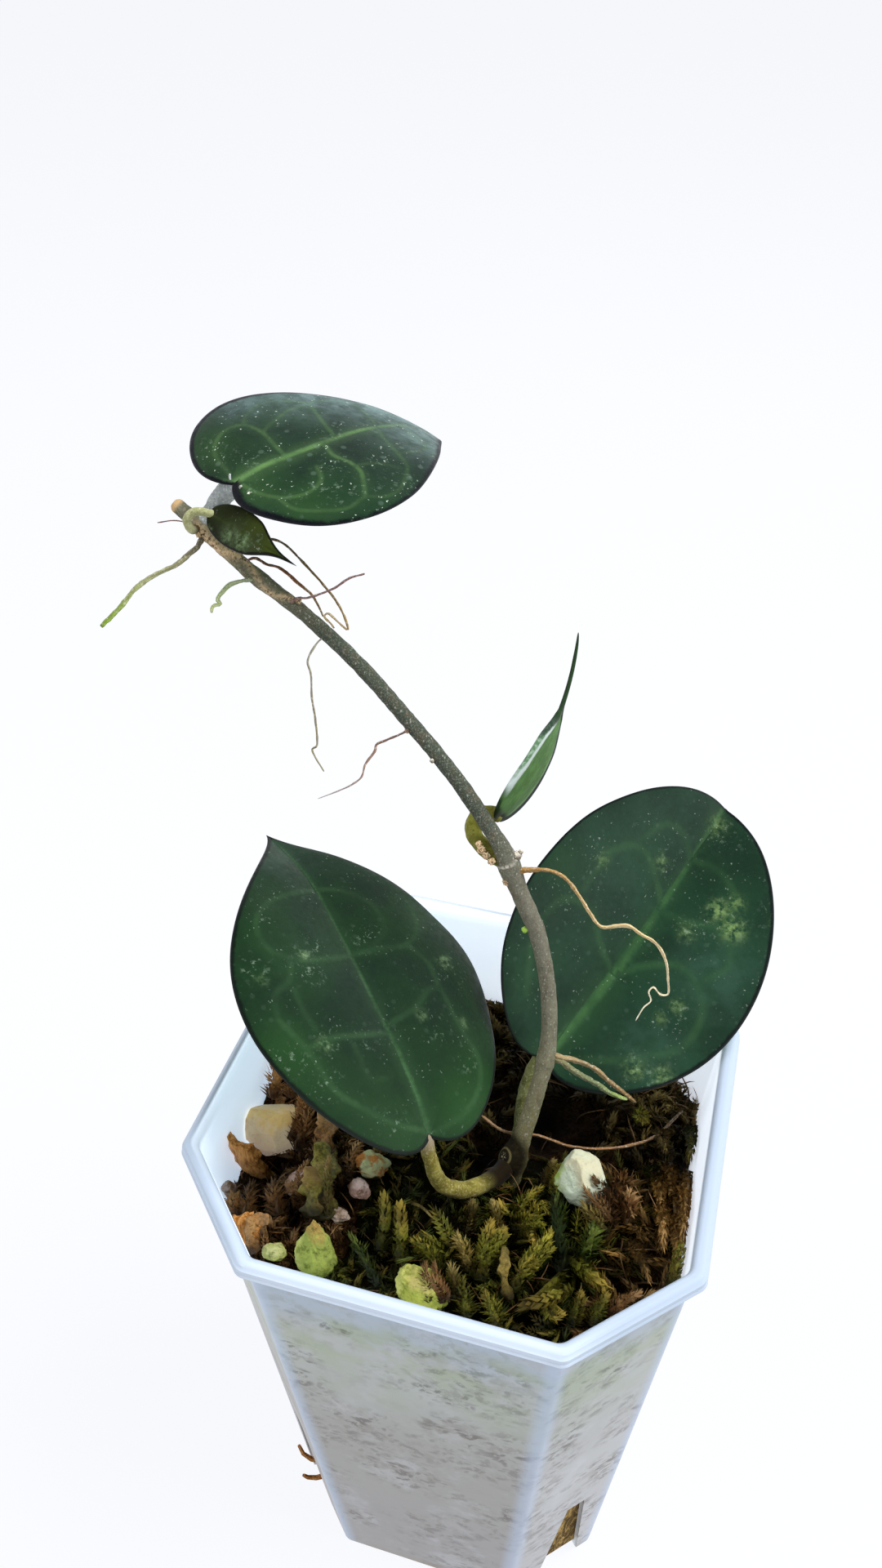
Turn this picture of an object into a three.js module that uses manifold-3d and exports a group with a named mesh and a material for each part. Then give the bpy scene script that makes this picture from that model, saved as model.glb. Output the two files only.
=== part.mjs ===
// A black margin hoya in its pot: a leaning vine with five leaves and aerial roots, planted in damp moss
// in a square, translucent nursery pot with cut-off corners.
// Millimetres, +Z up. The origin is the middle of the pot's base, and the front of the pot faces -Y.
import * as THREE from 'three';
import Module from 'manifold-3d';
import { mergeVertices } from 'three/addons/utils/BufferGeometryUtils.js';

const wasm = await Module();
wasm.setup();

// Pot: half-widths across the flats and how much of each corner is cut off, at the base and at the top
const POT_HEIGHT = 127;
const BASE_HALF_WIDTH = 33.6;
const BASE_CORNER_CUT = 15.2;
const TOP_HALF_WIDTH = 42.9;
const TOP_CORNER_CUT = 17.5;
const LIP_OVERHANG = 2.1;
const LIP_HEIGHT = 2.8;
const WALL = 1.2;
const FLOOR = 1.6;
const CORNER_RADIUS = 2.2;
const SMALLEST_CORNER_RADIUS = 0.6;
const FOOT_BEVEL = 0.9;

// Rolled lip, from its lower edge over the top to the inside: how far below the rim and outside the wall
const LIP_PROFILE = [
  [LIP_HEIGHT, LIP_OVERHANG - 0.4],
  [LIP_HEIGHT - 0.5, LIP_OVERHANG],
  [1.2, LIP_OVERHANG - 0.1],
  [0.35, LIP_OVERHANG - 0.6],
  [0, LIP_OVERHANG - 1.6],
  [0.2, -0.4],
  [1, 0.2 - WALL],
  [LIP_HEIGHT, -WALL],
];

// Drain slots in the corner faces: a tall wedge, a little off the middle of its face
const SLOT_HEIGHT = 30;
const SLOT_BOTTOM_WIDTH = 10;
const SLOT_TOP_WIDTH = 4;
const SLOT_OFFSET = 2.5;
const SLOT_DEPTH = 10;

// Room left between neighbouring pieces
const GAP = 0.3;

// Moss: how far its surface lies below the rim at a few places, from the pot's middle
const MOSS_DROPS = [
  { x: 0, y: -42, drop: 6.5 },
  { x: -27, y: -42, drop: 8 },
  { x: 27, y: -42, drop: 8.5 },
  { x: 42, y: -24, drop: 7.5 },
  { x: 42, y: 5, drop: 16 },
  { x: 42, y: 27, drop: 20 },
  { x: 0, y: 42, drop: 20.5 },
  { x: -42, y: 27, drop: 17 },
  { x: -42, y: 5, drop: 13 },
  { x: -40, y: -20, drop: 18 },
  { x: 9, y: -6, drop: 12.5 },
  { x: 8, y: 12, drop: 17 },
  { x: -10, y: -20, drop: 9.5 },
];
const DROP_BLEND = 30;
const DROP_POWER = 1.5;
const MAT_FLOOR = 100;
const MOSS_GRID_STEP = 4.3;
const MOSS_BUMP = 1.1;

// Vine: points along its middle from the buried end up to the cut tip, and its radius at both ends
const STEM_POINTS = [
  [10, -7, 98],
  [9.5, -6.5, 108],
  [9, -6, 114.5],
  [11, -1.5, 122.5],
  [12.5, 4.5, 132.5],
  [12.5, 8, 141],
  [9.5, 11, 153],
  [6, 13, 164],
  [2.5, 13, 169.5],
  [-2, 14.5, 175],
  [-8, 16, 182.5],
  [-17, 17.5, 192],
  [-25.5, 19, 200],
  [-34, 19.5, 207],
  [-43.5, 20, 213.5],
  [-50.5, 21, 219],
  [-55, 21.5, 222],
];
const STEM_BASE_RADIUS = 1.75;
const STEM_TIP_RADIUS = 1.2;
const STEM_SIDES = 10;
const STEM_STEPS = 44;

// Joints of the vine, where leaves and roots come out
const LOW_JOINT = { at: [9.2, -5.6, 115], radius: 2.6 };
const ROOT_JOINT = { at: [12.5, 4.5, 132.5], radius: 1.9 };
const MIDDLE_JOINT = { at: [2.5, 13, 169.5], radius: 2.1 };
const TOP_JOINT = { at: [-50.5, 21, 219], radius: 1.75 };
const BUD = { at: [6, 11.6, 157.5], radius: 1.1 };

// Leaves: the blade springs from base, points along azimuth and elevation and is rolled about its midrib.
// taper and taperPower set where the outline narrows, bow bends the midrib sideways, droop bends it down,
// and cup and fold (degrees) lower and raise the two halves across it.
const LEAVES = {
  leaf_lower_left: {
    base: [-3.5, -15, 129.5], azimuth: 127, elevation: 37, roll: 25,
    length: 67, width: 51.5, taper: 0.97, taperPower: 3.6, lean: 0, notch: 2.5,
    bow: 2, droop: 38, cup: 27, fold: 13.5, tipWidth: 0,
    stalk: [[9.2, -5.6, 115.5], [6.5, -10.5, 115.4], [2.5, -14.5, 116.2], [-1, -16.8, 120],
      [-2.8, -16.6, 125], [-4.5, -14.5, 129.8]],
    stalkRadius: 2.05, colour: 0x1d4a30,
  },
  leaf_lower_right: {
    base: [10, 10.5, 126], azimuth: 64.5, elevation: 23, roll: 34.5,
    length: 62, width: 52, taper: 0.26, taperPower: 1.3, lean: 0, notch: 2.5,
    bow: 0, droop: 0, cup: -5, fold: 21, tipWidth: 0,
    stalk: [[9.2, -5.6, 115.5], [9.5, -1.5, 116.5], [8.8, 4, 118.5], [8.8, 8, 121.5], [10.5, 11.5, 126.4]],
    stalkRadius: 1.7, colour: 0x1f4c34,
  },
  leaf_top: {
    base: [-45, 22, 226.5], azimuth: 55, elevation: 22, roll: 10.5,
    length: 45.5, width: 39, taper: 0.9, taperPower: 1.3, lean: -0.02, notch: 2.5,
    bow: -1.5, droop: 59, cup: 12, fold: 2.5, tipWidth: 0,
    stalk: [[-50.5, 21, 219], [-49.4, 23, 220.5], [-47.8, 24.2, 223], [-44.4, 23.4, 226.4]],
    stalkRadius: 1.6, colour: 0x20472c,
  },
  leaf_young_top: {
    base: [-47.5, 19, 222.3], azimuth: -24.5, elevation: -7.5, roll: 46,
    length: 17, width: 7.5, taper: 0.99, taperPower: 1.6, lean: 0.05, notch: 0.8,
    bow: -0.3, droop: 10, cup: 11, fold: 4, tipWidth: 0.06,
    stalk: [[-50.5, 21, 219], [-50.8, 18.4, 219.6], [-51, 17.7, 221.6], [-49.6, 18.2, 222.8],
      [-46.8, 18.8, 222.4]],
    stalkRadius: 1, colour: 0x3c4d1e,
  },
  leaf_middle: {
    base: [-1.5, 19.2, 173], azimuth: 48.5, elevation: 34.5, roll: -65.5,
    length: 35.5, width: 18, taper: 0.99, taperPower: 0.7, lean: 0, notch: 0.8,
    bow: 0.2, droop: -42, cup: 0, fold: 1, tipWidth: 0.05,
    stalk: [[2.5, 13, 169.5], [-2.5, 14.8, 170], [-5.6, 17.5, 171], [-5, 20.3, 172.6], [-1, 19.8, 173.2]],
    stalkRadius: 1.45, colour: 0x4c8060,
  },
};
const BLADE_ROWS = 12;
const BLADE_COLUMNS = 6;
const STALK_SIDES = 8;
const STALK_STEPS = 9;
const BLADE_MID_THICKNESS = 1.5;
const BLADE_EDGE_THICKNESS = 0.8;
const NOTCH_ANGLE = 0.32;
const ROW_SPACING_POWER = 1.1;
const ROW_SWEEP_POWER = 1.5;
const STALK_THINNING = 0.25;

// Aerial roots: points from the middle of the vine to the free tip, and the radius at both ends
const ROOTS = {
  aerial_root_1: {
    points: [[-50, 20.5, 218], [-50, 18, 217], [-52.5, 15, 215], [-55, 13, 214], [-57.5, 10.5, 212.5],
      [-59.5, 8, 210], [-61.5, 5.5, 208]],
    radii: [0.45, 0.4], colour: 0x7d9655,
  },
  aerial_root_2: {
    points: [[-43.5, 20, 213.5], [-42.5, 17.5, 212.5], [-44, 16.5, 212], [-45, 15, 211.5], [-45.5, 14, 210],
      [-46, 13, 209]],
    radii: [0.3, 0.35], colour: 0xa8bf86,
  },
  aerial_root_3: {
    points: [[-47.5, 21, 217], [-44.5, 24, 217], [-40, 24, 216.5], [-37, 23.5, 215.5], [-34, 22, 213],
      [-30.5, 21, 210.5], [-28, 20, 208.5], [-26.5, 18.5, 206.5], [-27.2, 17.6, 205.9], [-29, 17.8, 207],
      [-30, 18.2, 208.4]],
    radii: [0.32, 0.25], colour: 0x8a6134,
  },
  aerial_root_4: {
    points: [[-44, 20, 214], [-41.5, 19, 215.5], [-37.5, 19.4, 214.2], [-35, 19.2, 212.5], [-31.7, 18.3, 210],
      [-30.2, 17.3, 207.5]],
    radii: [0.3, 0.25], colour: 0x8a5a32,
  },
  aerial_root_5: {
    points: [[-35, 19.5, 207.8], [-34.4, 18.2, 210], [-32, 16.8, 211.8], [-30.9, 16.8, 212.3],
      [-28.9, 18.9, 212.6], [-27, 21.2, 213.4], [-24.6, 22.8, 213.6]],
    radii: [0.28, 0.25], colour: 0x6d4038,
  },
  aerial_root_6: {
    points: [[-31, 19, 204.5], [-31, 17.5, 203], [-32, 15.5, 201.5], [-32, 15, 200.5], [-30.5, 12.5, 197],
      [-29, 9.5, 193], [-28.5, 7.5, 190.5], [-29, 7, 190], [-26.5, 6, 187.5]],
    radii: [0.25, 0.25], colour: 0x8d7a55,
  },
  aerial_root_7: {
    points: [[-15.8, 17.3, 191], [-16.4, 15.6, 190.5], [-18, 14.5, 190], [-20.5, 12.5, 188.5],
      [-20.8, 11, 187], [-22, 8.5, 184.5], [-24.5, 7, 183]],
    radii: [0.25, 0.25], colour: 0xb09a86,
  },
  aerial_root_8: {
    points: [[3, 12.6, 168.5], [5.5, 12.5, 168.5], [7.5, 13, 169], [10.5, 13, 168.5], [13.5, 12.5, 165.5],
      [17.5, 11, 161.5], [20, 11, 160.5], [23.5, 12, 161], [27, 12.5, 159], [29.5, 12, 156.5], [31, 9, 151],
      [29.2, 8.6, 151], [28.5, 8.6, 151.5], [28, 7.5, 150], [27, 5, 147]],
    radii: [0.65, 0.3], colour: 0xc09a5a,
  },
  aerial_root_9: {
    points: [[12.5, 4.6, 133.2], [16.5, 5.5, 133.4], [19, 5.8, 132], [21.5, 6, 130.3], [27.5, 6, 126]],
    radii: [0.5, 0.4], colour: 0x8f7448,
  },
  aerial_root_10: {
    points: [[12.5, 4.2, 132], [17.5, 3.5, 131.6], [22, 4, 128.8], [26.5, 5, 125.4]],
    radii: [0.5, 0.4], colour: 0xb8bd9a,
  },
  aerial_root_11: {
    points: [[-51.5, 20.5, 219.2], [-54, 19.2, 220], [-56.5, 18.5, 220.2]],
    radii: [0.3, 0.25], colour: 0x7a5060,
  },
};
const ROOT_SIDES = 5;
const ROOT_STEPS_PER_POINT = 2;

// One root runs over the moss from behind the vine to the right wall: places seen from above
const CREEPING_ROOT = [[1, 3.5], [6, 0.5], [12, 1.5], [18.5, 1], [25, 3], [32, 8], [37, 18]];
const CREEPING_ROOT_RADIUS = 0.35;
const CREEPING_ROOT_HEIGHT = 1.2;
const CREEPING_ROOT_STEPS = 14;

// Lumps of pumice in the moss, with the half-sizes of each and its turn about Z in degrees
const LUMPS = {
  pumice_cream: { at: [-36, -8, 111.5], half: [5.6, 4.6, 4.4], turn: 20, colour: 0xb9a482 },
  pumice_white: { at: [21.5, -8, 117], half: [4, 3.6, 4.6], turn: -30, colour: 0xc6cfae },
  pumice_lime: { at: [-17.5, -34, 118.6], half: [3.4, 3, 5.6], turn: 25, colour: 0x9fb552 },
  pumice_yellow: { at: [1.5, -36.3, 119.6], half: [4.4, 3, 4], turn: -10, colour: 0xc0c777 },
  pumice_small: { at: [-24, -35.5, 118.4], half: [2.1, 1.8, 1.7], turn: 0, colour: 0xc9cf92 },
  pumice_pink: { at: [-25.5, -19, 114.6], half: [2.8, 2.2, 2.6], turn: 40, colour: 0xb6a09a },
  pumice_grey: { at: [-16.5, -17.5, 116.6], half: [2.8, 2.2, 2], turn: -20, colour: 0xb3a49a },
  pumice_tan: { at: [-12.5, -8, 115.8], half: [3.6, 2.8, 2.8], turn: 15, colour: 0xa38c60 },
};
const LUMP_ROUGHNESS = 0.14;

// Flakes of bark standing in the moss on the left: width, thickness and height, and the lean about X
const FLAKES = {
  bark_flake_tall: { at: [-38, -17, 111.5], size: [5, 1.3, 11], turn: -35, lean: 14, colour: 0x9a6535 },
  bark_flake_short: { at: [-31.5, -31, 118], size: [6.5, 1.4, 6], turn: 30, lean: -25, colour: 0xa3713c },
};

// Moss shoots: seeded tufts in three mats. Each mat fills one or two stretches of the pot's mouth,
// given as the lowest and highest x, then the lowest and highest y.
const SEED = 20;
const MAT_LEFT = -14;
const MAT_RIGHT = 27;
const MAT_BACK = -1;
const MAT_REACH = 60;
const MAT_TOP = POT_HEIGHT + 6;
const MATS = {
  moss_green: {
    stretches: [[MAT_LEFT, MAT_RIGHT, -MAT_REACH, MAT_BACK]],
    count: 24, radius: 1.6, length: [7, 12], rise: 0.55, colour: 0x4f5d20,
  },
  moss_olive: {
    stretches: [[MAT_RIGHT + GAP, MAT_REACH, -MAT_REACH, MAT_REACH]],
    count: 13, radius: 1.4, length: [6, 11], rise: 0.5, colour: 0x4a421f,
  },
  moss_brown: {
    stretches: [
      [-MAT_REACH, MAT_LEFT - GAP, -MAT_REACH, MAT_REACH],
      [-MAT_REACH, MAT_RIGHT, MAT_BACK + GAP, MAT_REACH],
    ],
    count: 20, radius: 1.3, length: [6, 10], rise: 0.6, colour: 0x6a4a2c,
  },
};
const SHOOT_SIDES = 5;
const SHOOT_STEPS = 4;
const SHOOT_ROOT = 2.2;
const SHOOT_REACH = 0.9;
const SHOOT_ARCH = 0.62 * Math.PI;
const SHOOT_POINTS = [0, 0.35, 0.7, 1];

// Strands of brown moss that poke out of the front left drain slot
const SLOT_STRANDS = [
  [[-22, -18, 8], [-28.5, -22.6, 8.6], [-32, -23.1, 10], [-33.5, -22.6, 13]],
  [[-22, -20, 6], [-28, -25, 6], [-30.5, -26.2, 7], [-31, -26.8, 9]],
];
const STRAND_RADIUS = 0.8;
const STRAND_STEPS = 6;

// A small generator of repeatable random numbers between 0 and 1
function randomNumbers(seed) {
  let state = seed;
  return () => {
    state = (state * 16807) % 2147483647;
    return state / 2147483647;
  };
}

const radians = THREE.MathUtils.degToRad;

// Closed geometry to a solid: shared corners are merged and slivers with two equal corners are dropped
function solidFrom(geometry) {
  const bare = new THREE.BufferGeometry();
  bare.setAttribute('position', geometry.getAttribute('position'));
  bare.setIndex(geometry.getIndex());
  const merged = mergeVertices(bare, 1e-4);
  const corners = merged.getIndex().array;
  const triangles = [];
  for (let i = 0; i < corners.length; i += 3) {
    const [a, b, c] = [corners[i], corners[i + 1], corners[i + 2]];
    if (a !== b && b !== c && c !== a) triangles.push(a, b, c);
  }
  return new wasm.Manifold(new wasm.Mesh({
    numProp: 3,
    vertProperties: new Float32Array(merged.getAttribute('position').array),
    triVerts: new Uint32Array(triangles),
  }));
}

// The largest piece of a solid, without the scraps that a cut leaves
function mainPiece(solid) {
  return solid.decompose().reduce((a, b) => (b.volume() > a.volume() ? b : a));
}

function meshFrom(name, solid, colour, roughness = 0.7) {
  const made = mainPiece(solid).getMesh();
  const geometry = new THREE.BufferGeometry();
  geometry.setAttribute('position', new THREE.BufferAttribute(new Float32Array(made.vertProperties), 3));
  geometry.setIndex(new THREE.BufferAttribute(new Uint32Array(made.triVerts), 1));
  geometry.computeVertexNormals();
  const material = new THREE.MeshStandardMaterial({ color: colour, roughness, metalness: 0 });
  const mesh = new THREE.Mesh(geometry, material);
  mesh.name = name;
  return mesh;
}

// A closed tube whose radius may change along its curve: a straight extrusion bent along the curve
function tube(points, radiusAt, sides, steps) {
  const curve = new THREE.CatmullRomCurve3(points.map((p) => new THREE.Vector3(...p)), false, 'centripetal');
  const corners = Array.from({ length: sides }, (_, i) => 2 * Math.PI * i / sides)
    .map((angle) => new THREE.Vector2(Math.cos(angle), Math.sin(angle)));
  const section = new THREE.Shape(corners);
  const geometry = new THREE.ExtrudeGeometry(section, { depth: 1, steps, bevelEnabled: false });
  const frames = curve.computeFrenetFrames(steps, false);
  const position = geometry.getAttribute('position');
  for (let i = 0; i < position.count; i++) {
    const step = Math.round(position.getZ(i) * steps);
    const middle = curve.getPointAt(step / steps);
    const radius = radiusAt(step / steps);
    middle.addScaledVector(frames.normals[step], position.getX(i) * radius);
    middle.addScaledVector(frames.binormals[step], position.getY(i) * radius);
    position.setXYZ(i, middle.x, middle.y, middle.z);
  }
  return solidFrom(geometry);
}

function ball(at, radius) {
  const geometry = new THREE.IcosahedronGeometry(radius, 1);
  geometry.translate(...at);
  return solidFrom(geometry);
}

// One ring round the pot, with its eight corners rounded, counter-clockwise seen from above
function potRing(halfWidth, cornerCut, z, cornerRadius) {
  const flats = [0, 1, 2, 3, 4, 5, 6, 7].map((side) => ({
    angle: side * Math.PI / 4,
    reach: side % 2 === 0 ? halfWidth : (2 * halfWidth - cornerCut) * Math.SQRT1_2,
  }));
  const points = [];
  flats.forEach((flat, i) => {
    const next = flats[(i + 1) % flats.length];
    // the middle of the rounding lies where both flats, moved in by the radius, meet
    const [a, b] = [flat.reach - cornerRadius, next.reach - cornerRadius];
    const turn = Math.PI / 4;
    const along = (b - a * Math.cos(turn)) / Math.sin(turn);
    const middleX = a * Math.cos(flat.angle) - along * Math.sin(flat.angle);
    const middleY = a * Math.sin(flat.angle) + along * Math.cos(flat.angle);
    for (const share of [0, 0.5, 1]) {
      const angle = flat.angle + share * turn;
      points.push([middleX + cornerRadius * Math.cos(angle), middleY + cornerRadius * Math.sin(angle), z]);
    }
  });
  return points;
}

// Rings of equal count joined into a closed skin, with a flat cap on the first and the last
function loft(rings) {
  const count = rings[0].length;
  const index = [];
  for (let r = 0; r < rings.length - 1; r++) {
    for (let i = 0; i < count; i++) {
      const next = (i + 1) % count;
      const [a, b, c, d] = [r * count + i, r * count + next, (r + 1) * count + next, (r + 1) * count + i];
      index.push(a, b, c, a, c, d);
    }
  }
  const last = (rings.length - 1) * count;
  for (let i = 1; i < count - 1; i++) {
    index.push(0, i + 1, i);
    index.push(last, last + i, last + i + 1);
  }
  const geometry = new THREE.BufferGeometry();
  geometry.setAttribute('position', new THREE.BufferAttribute(new Float32Array(rings.flat(2)), 3));
  geometry.setIndex(index);
  return solidFrom(geometry);
}

// Outer half-width and corner cut of the pot's wall at a height
function wallAt(z) {
  const share = z / (POT_HEIGHT - LIP_HEIGHT);
  return {
    halfWidth: THREE.MathUtils.lerp(BASE_HALF_WIDTH, TOP_HALF_WIDTH, share),
    cut: THREE.MathUtils.lerp(BASE_CORNER_CUT, TOP_CORNER_CUT, share),
  };
}

// A ring that lies the given distance outside (or, below zero, inside) the wall's outer face
function ringBesideWall(z, outward) {
  const wall = wallAt(z);
  // moving all eight faces out by the same distance changes the cut by this share of it
  const cut = wall.cut + outward * (2 - Math.SQRT2);
  return potRing(wall.halfWidth + outward, cut, z, Math.max(SMALLEST_CORNER_RADIUS, CORNER_RADIUS + outward));
}

// Everything inside the wall, less a clearance, from one height to another
function insidePot(bottom, top, clearance = GAP) {
  return loft([ringBesideWall(bottom, -WALL - clearance), ringBesideWall(top, -WALL - clearance)]);
}

// The wedge that is cut through one corner face; left and right, front and back mirror each other
function slotCutter(side) {
  const wedge = new THREE.Shape();
  wedge.moveTo(-SLOT_BOTTOM_WIDTH / 2, -1);
  wedge.lineTo(SLOT_BOTTOM_WIDTH / 2, -1);
  wedge.lineTo(SLOT_TOP_WIDTH / 2, SLOT_HEIGHT);
  wedge.lineTo(-SLOT_TOP_WIDTH / 2, SLOT_HEIGHT);
  const geometry = new THREE.ExtrudeGeometry(wedge, { depth: SLOT_DEPTH, bevelEnabled: false });
  geometry.rotateX(Math.PI / 2);
  const offset = side % 2 === 0 ? SLOT_OFFSET : -SLOT_OFFSET;
  const cornerFace = (2 * BASE_HALF_WIDTH - BASE_CORNER_CUT) * Math.SQRT1_2;
  geometry.translate(offset, SLOT_DEPTH / 2 - 1 - cornerFace, 0);
  geometry.rotateZ(Math.PI / 4 + side * Math.PI / 2);
  return solidFrom(geometry);
}

function pot() {
  const rings = [
    ringBesideWall(0, -FOOT_BEVEL),
    ringBesideWall(FOOT_BEVEL, 0),
    ringBesideWall(POT_HEIGHT - LIP_HEIGHT, 0),
    ...LIP_PROFILE.map(([below, outward]) => ringBesideWall(POT_HEIGHT - below, outward)),
    ringBesideWall(FLOOR, -WALL),
  ];
  let solid = loft(rings);
  for (const side of [0, 1, 2, 3]) solid = solid.subtract(slotCutter(side));
  return meshFrom('pot', solid, 0xd3d9e4, 0.35);
}

// Height of the moss surface, without its small bumps, at a place seen from above
function mossHeight(x, y) {
  let sum = 0;
  let weights = 0;
  for (const spot of MOSS_DROPS) {
    const weight = 1 / ((x - spot.x) ** 2 + (y - spot.y) ** 2 + DROP_BLEND) ** DROP_POWER;
    sum += weight * spot.drop;
    weights += weight;
  }
  return POT_HEIGHT - sum / weights;
}

// A block as wide as the pot, whose top follows a height at each place of a square grid
function terrain(heightAt, bottom) {
  const half = Math.ceil(TOP_HALF_WIDTH / MOSS_GRID_STEP) * MOSS_GRID_STEP;
  const cells = Math.round(2 * half / MOSS_GRID_STEP);
  const geometry = new THREE.BoxGeometry(2 * half, 2 * half, 1, cells, cells, 1);
  const position = geometry.getAttribute('position');
  for (let i = 0; i < position.count; i++) {
    const [x, y] = [position.getX(i), position.getY(i)];
    position.setZ(i, position.getZ(i) > 0 ? heightAt(x, y) : bottom);
  }
  return solidFrom(geometry);
}

// Wide and fine humps of the moss, as two waves that cross
function mossBump(x, y) {
  const wide = Math.sin(x * 0.46 + 1.3 * Math.sin(y * 0.21)) * Math.cos(y * 0.52 + Math.sin(x * 0.3));
  const fine = Math.sin(x * 1.1 + y * 0.7) * Math.sin(y * 1.3 - x * 0.4);
  return MOSS_BUMP * (wide + 0.5 * fine);
}

function mossBed(obstacles) {
  let solid = insidePot(FLOOR + GAP, MAT_FLOOR);
  for (const points of SLOT_STRANDS) {
    solid = solid.add(tube(points, (t) => STRAND_RADIUS * (1.2 - 0.7 * t), SHOOT_SIDES, STRAND_STEPS));
  }
  for (const obstacle of obstacles) solid = solid.subtract(obstacle);
  return meshFrom('moss_bed', solid, 0x4b3822, 0.9);
}

// A curved moss shoot that leaves the mat steeply and bends over along its heading
function shoot(x, y, heading, length, radius, rise) {
  const foot = mossHeight(x, y) - SHOOT_ROOT;
  const points = SHOOT_POINTS.map((share) => {
    const out = length * share * share * SHOOT_REACH;
    const up = SHOOT_ROOT + length * rise * Math.sin(share * SHOOT_ARCH);
    return [x + out * Math.cos(heading), y + out * Math.sin(heading), share === 0 ? foot : foot + up];
  });
  return tube(points, (t) => radius * Math.sqrt(1 - 0.88 * t * t), SHOOT_SIDES, SHOOT_STEPS);
}

// The stretches of the pot's mouth that one mat fills, as a solid
function matRoom(mat) {
  const boxes = mat.stretches.map(([left, right, front, back]) => {
    const geometry = new THREE.BoxGeometry(right - left, back - front, POT_HEIGHT);
    geometry.translate((left + right) / 2, (front + back) / 2, MAT_FLOOR);
    return solidFrom(geometry);
  });
  return wasm.Manifold.union(boxes);
}

function isInMat(mat, x, y) {
  return mat.stretches.some(([left, right, front, back]) => x > left && x < right && y > front && y < back);
}

function mossMat(name, mat, random, obstacles) {
  const surface = (x, y) => mossHeight(x, y) + mossBump(x, y);
  const shoots = [];
  const reach = TOP_HALF_WIDTH - 5;
  while (shoots.length < mat.count) {
    const [x, y] = [(2 * random() - 1) * reach, (2 * random() - 1) * reach];
    const heading = random() * Math.PI * 2;
    const length = THREE.MathUtils.lerp(...mat.length, random());
    const insideCorners = Math.abs(x) + Math.abs(y) < 2 * reach - TOP_CORNER_CUT;
    if (insideCorners && isInMat(mat, x, y)) shoots.push(shoot(x, y, heading, length, mat.radius, mat.rise));
  }
  let solid = terrain(surface, MAT_FLOOR + GAP).add(wasm.Manifold.union(shoots));
  solid = solid.intersect(insidePot(MAT_FLOOR + GAP, MAT_TOP)).intersect(matRoom(mat));
  for (const obstacle of obstacles) solid = solid.subtract(obstacle);
  return meshFrom(name, solid, mat.colour, 0.85);
}

// A lump of pumice: a ball stretched to its half-sizes and roughened by a few waves
function lump(spec, clearance = 0) {
  const geometry = new THREE.IcosahedronGeometry(1, 2);
  const position = geometry.getAttribute('position');
  const point = new THREE.Vector3();
  for (let i = 0; i < position.count; i++) {
    point.fromBufferAttribute(position, i);
    const [a, b] = [spec.at[0], spec.at[1]];
    const wave = Math.sin(3.1 * point.x + a) * Math.sin(2.7 * point.y + b) + Math.sin(4.3 * point.z + a + b);
    const swell = 1 + LUMP_ROUGHNESS * wave;
    point.set(point.x * (spec.half[0] * swell + clearance), point.y * (spec.half[1] * swell + clearance),
      point.z * (spec.half[2] * swell + clearance));
    position.setXYZ(i, point.x, point.y, point.z);
  }
  geometry.rotateZ(radians(spec.turn));
  geometry.translate(...spec.at);
  return solidFrom(geometry);
}

// A flake of bark: a thin slab bent across its width, with ragged ends
function flake(spec, clearance = 0) {
  const [width, thickness, height] = spec.size.map((size) => size + 2 * clearance);
  const geometry = new THREE.BoxGeometry(width, thickness, height, 4, 1, 6);
  const position = geometry.getAttribute('position');
  for (let i = 0; i < position.count; i++) {
    const [x, y, z] = [position.getX(i), position.getY(i), position.getZ(i)];
    const narrow = 1 - 0.35 * Math.max(0, z / spec.size[2]) - 0.15 * Math.sin(z * 1.3);
    position.setXYZ(i, x * narrow, y + 0.09 * x * x + 0.012 * z * z, z + 0.12 * x * Math.sin(x));
  }
  geometry.rotateX(radians(spec.lean));
  geometry.rotateZ(radians(spec.turn));
  geometry.translate(...spec.at);
  return solidFrom(geometry);
}

// The vine's radius along its length, plus a clearance
function stemTube(clearance = 0) {
  return tube(STEM_POINTS, (t) => THREE.MathUtils.lerp(STEM_BASE_RADIUS, STEM_TIP_RADIUS, t) + clearance,
    STEM_SIDES, STEM_STEPS);
}

function stemWithJoints(clearance = 0) {
  let solid = stemTube(clearance);
  for (const joint of [LOW_JOINT, ROOT_JOINT, MIDDLE_JOINT, TOP_JOINT, BUD]) {
    solid = solid.add(ball(joint.at, joint.radius + clearance));
  }
  return solid;
}

// The blade's own directions: along the midrib, to its left seen from above, and up from its face
function bladeAxes(leaf) {
  const [azimuth, elevation, roll] = [radians(leaf.azimuth), radians(leaf.elevation), radians(leaf.roll)];
  const flat = Math.cos(elevation);
  const along = new THREE.Vector3(Math.cos(azimuth) * flat, Math.sin(azimuth) * flat, Math.sin(elevation));
  const left = new THREE.Vector3(-Math.sin(azimuth), Math.cos(azimuth), 0).applyAxisAngle(along, roll);
  const up = new THREE.Vector3().crossVectors(along, left);
  return { along, left, up };
}

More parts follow.
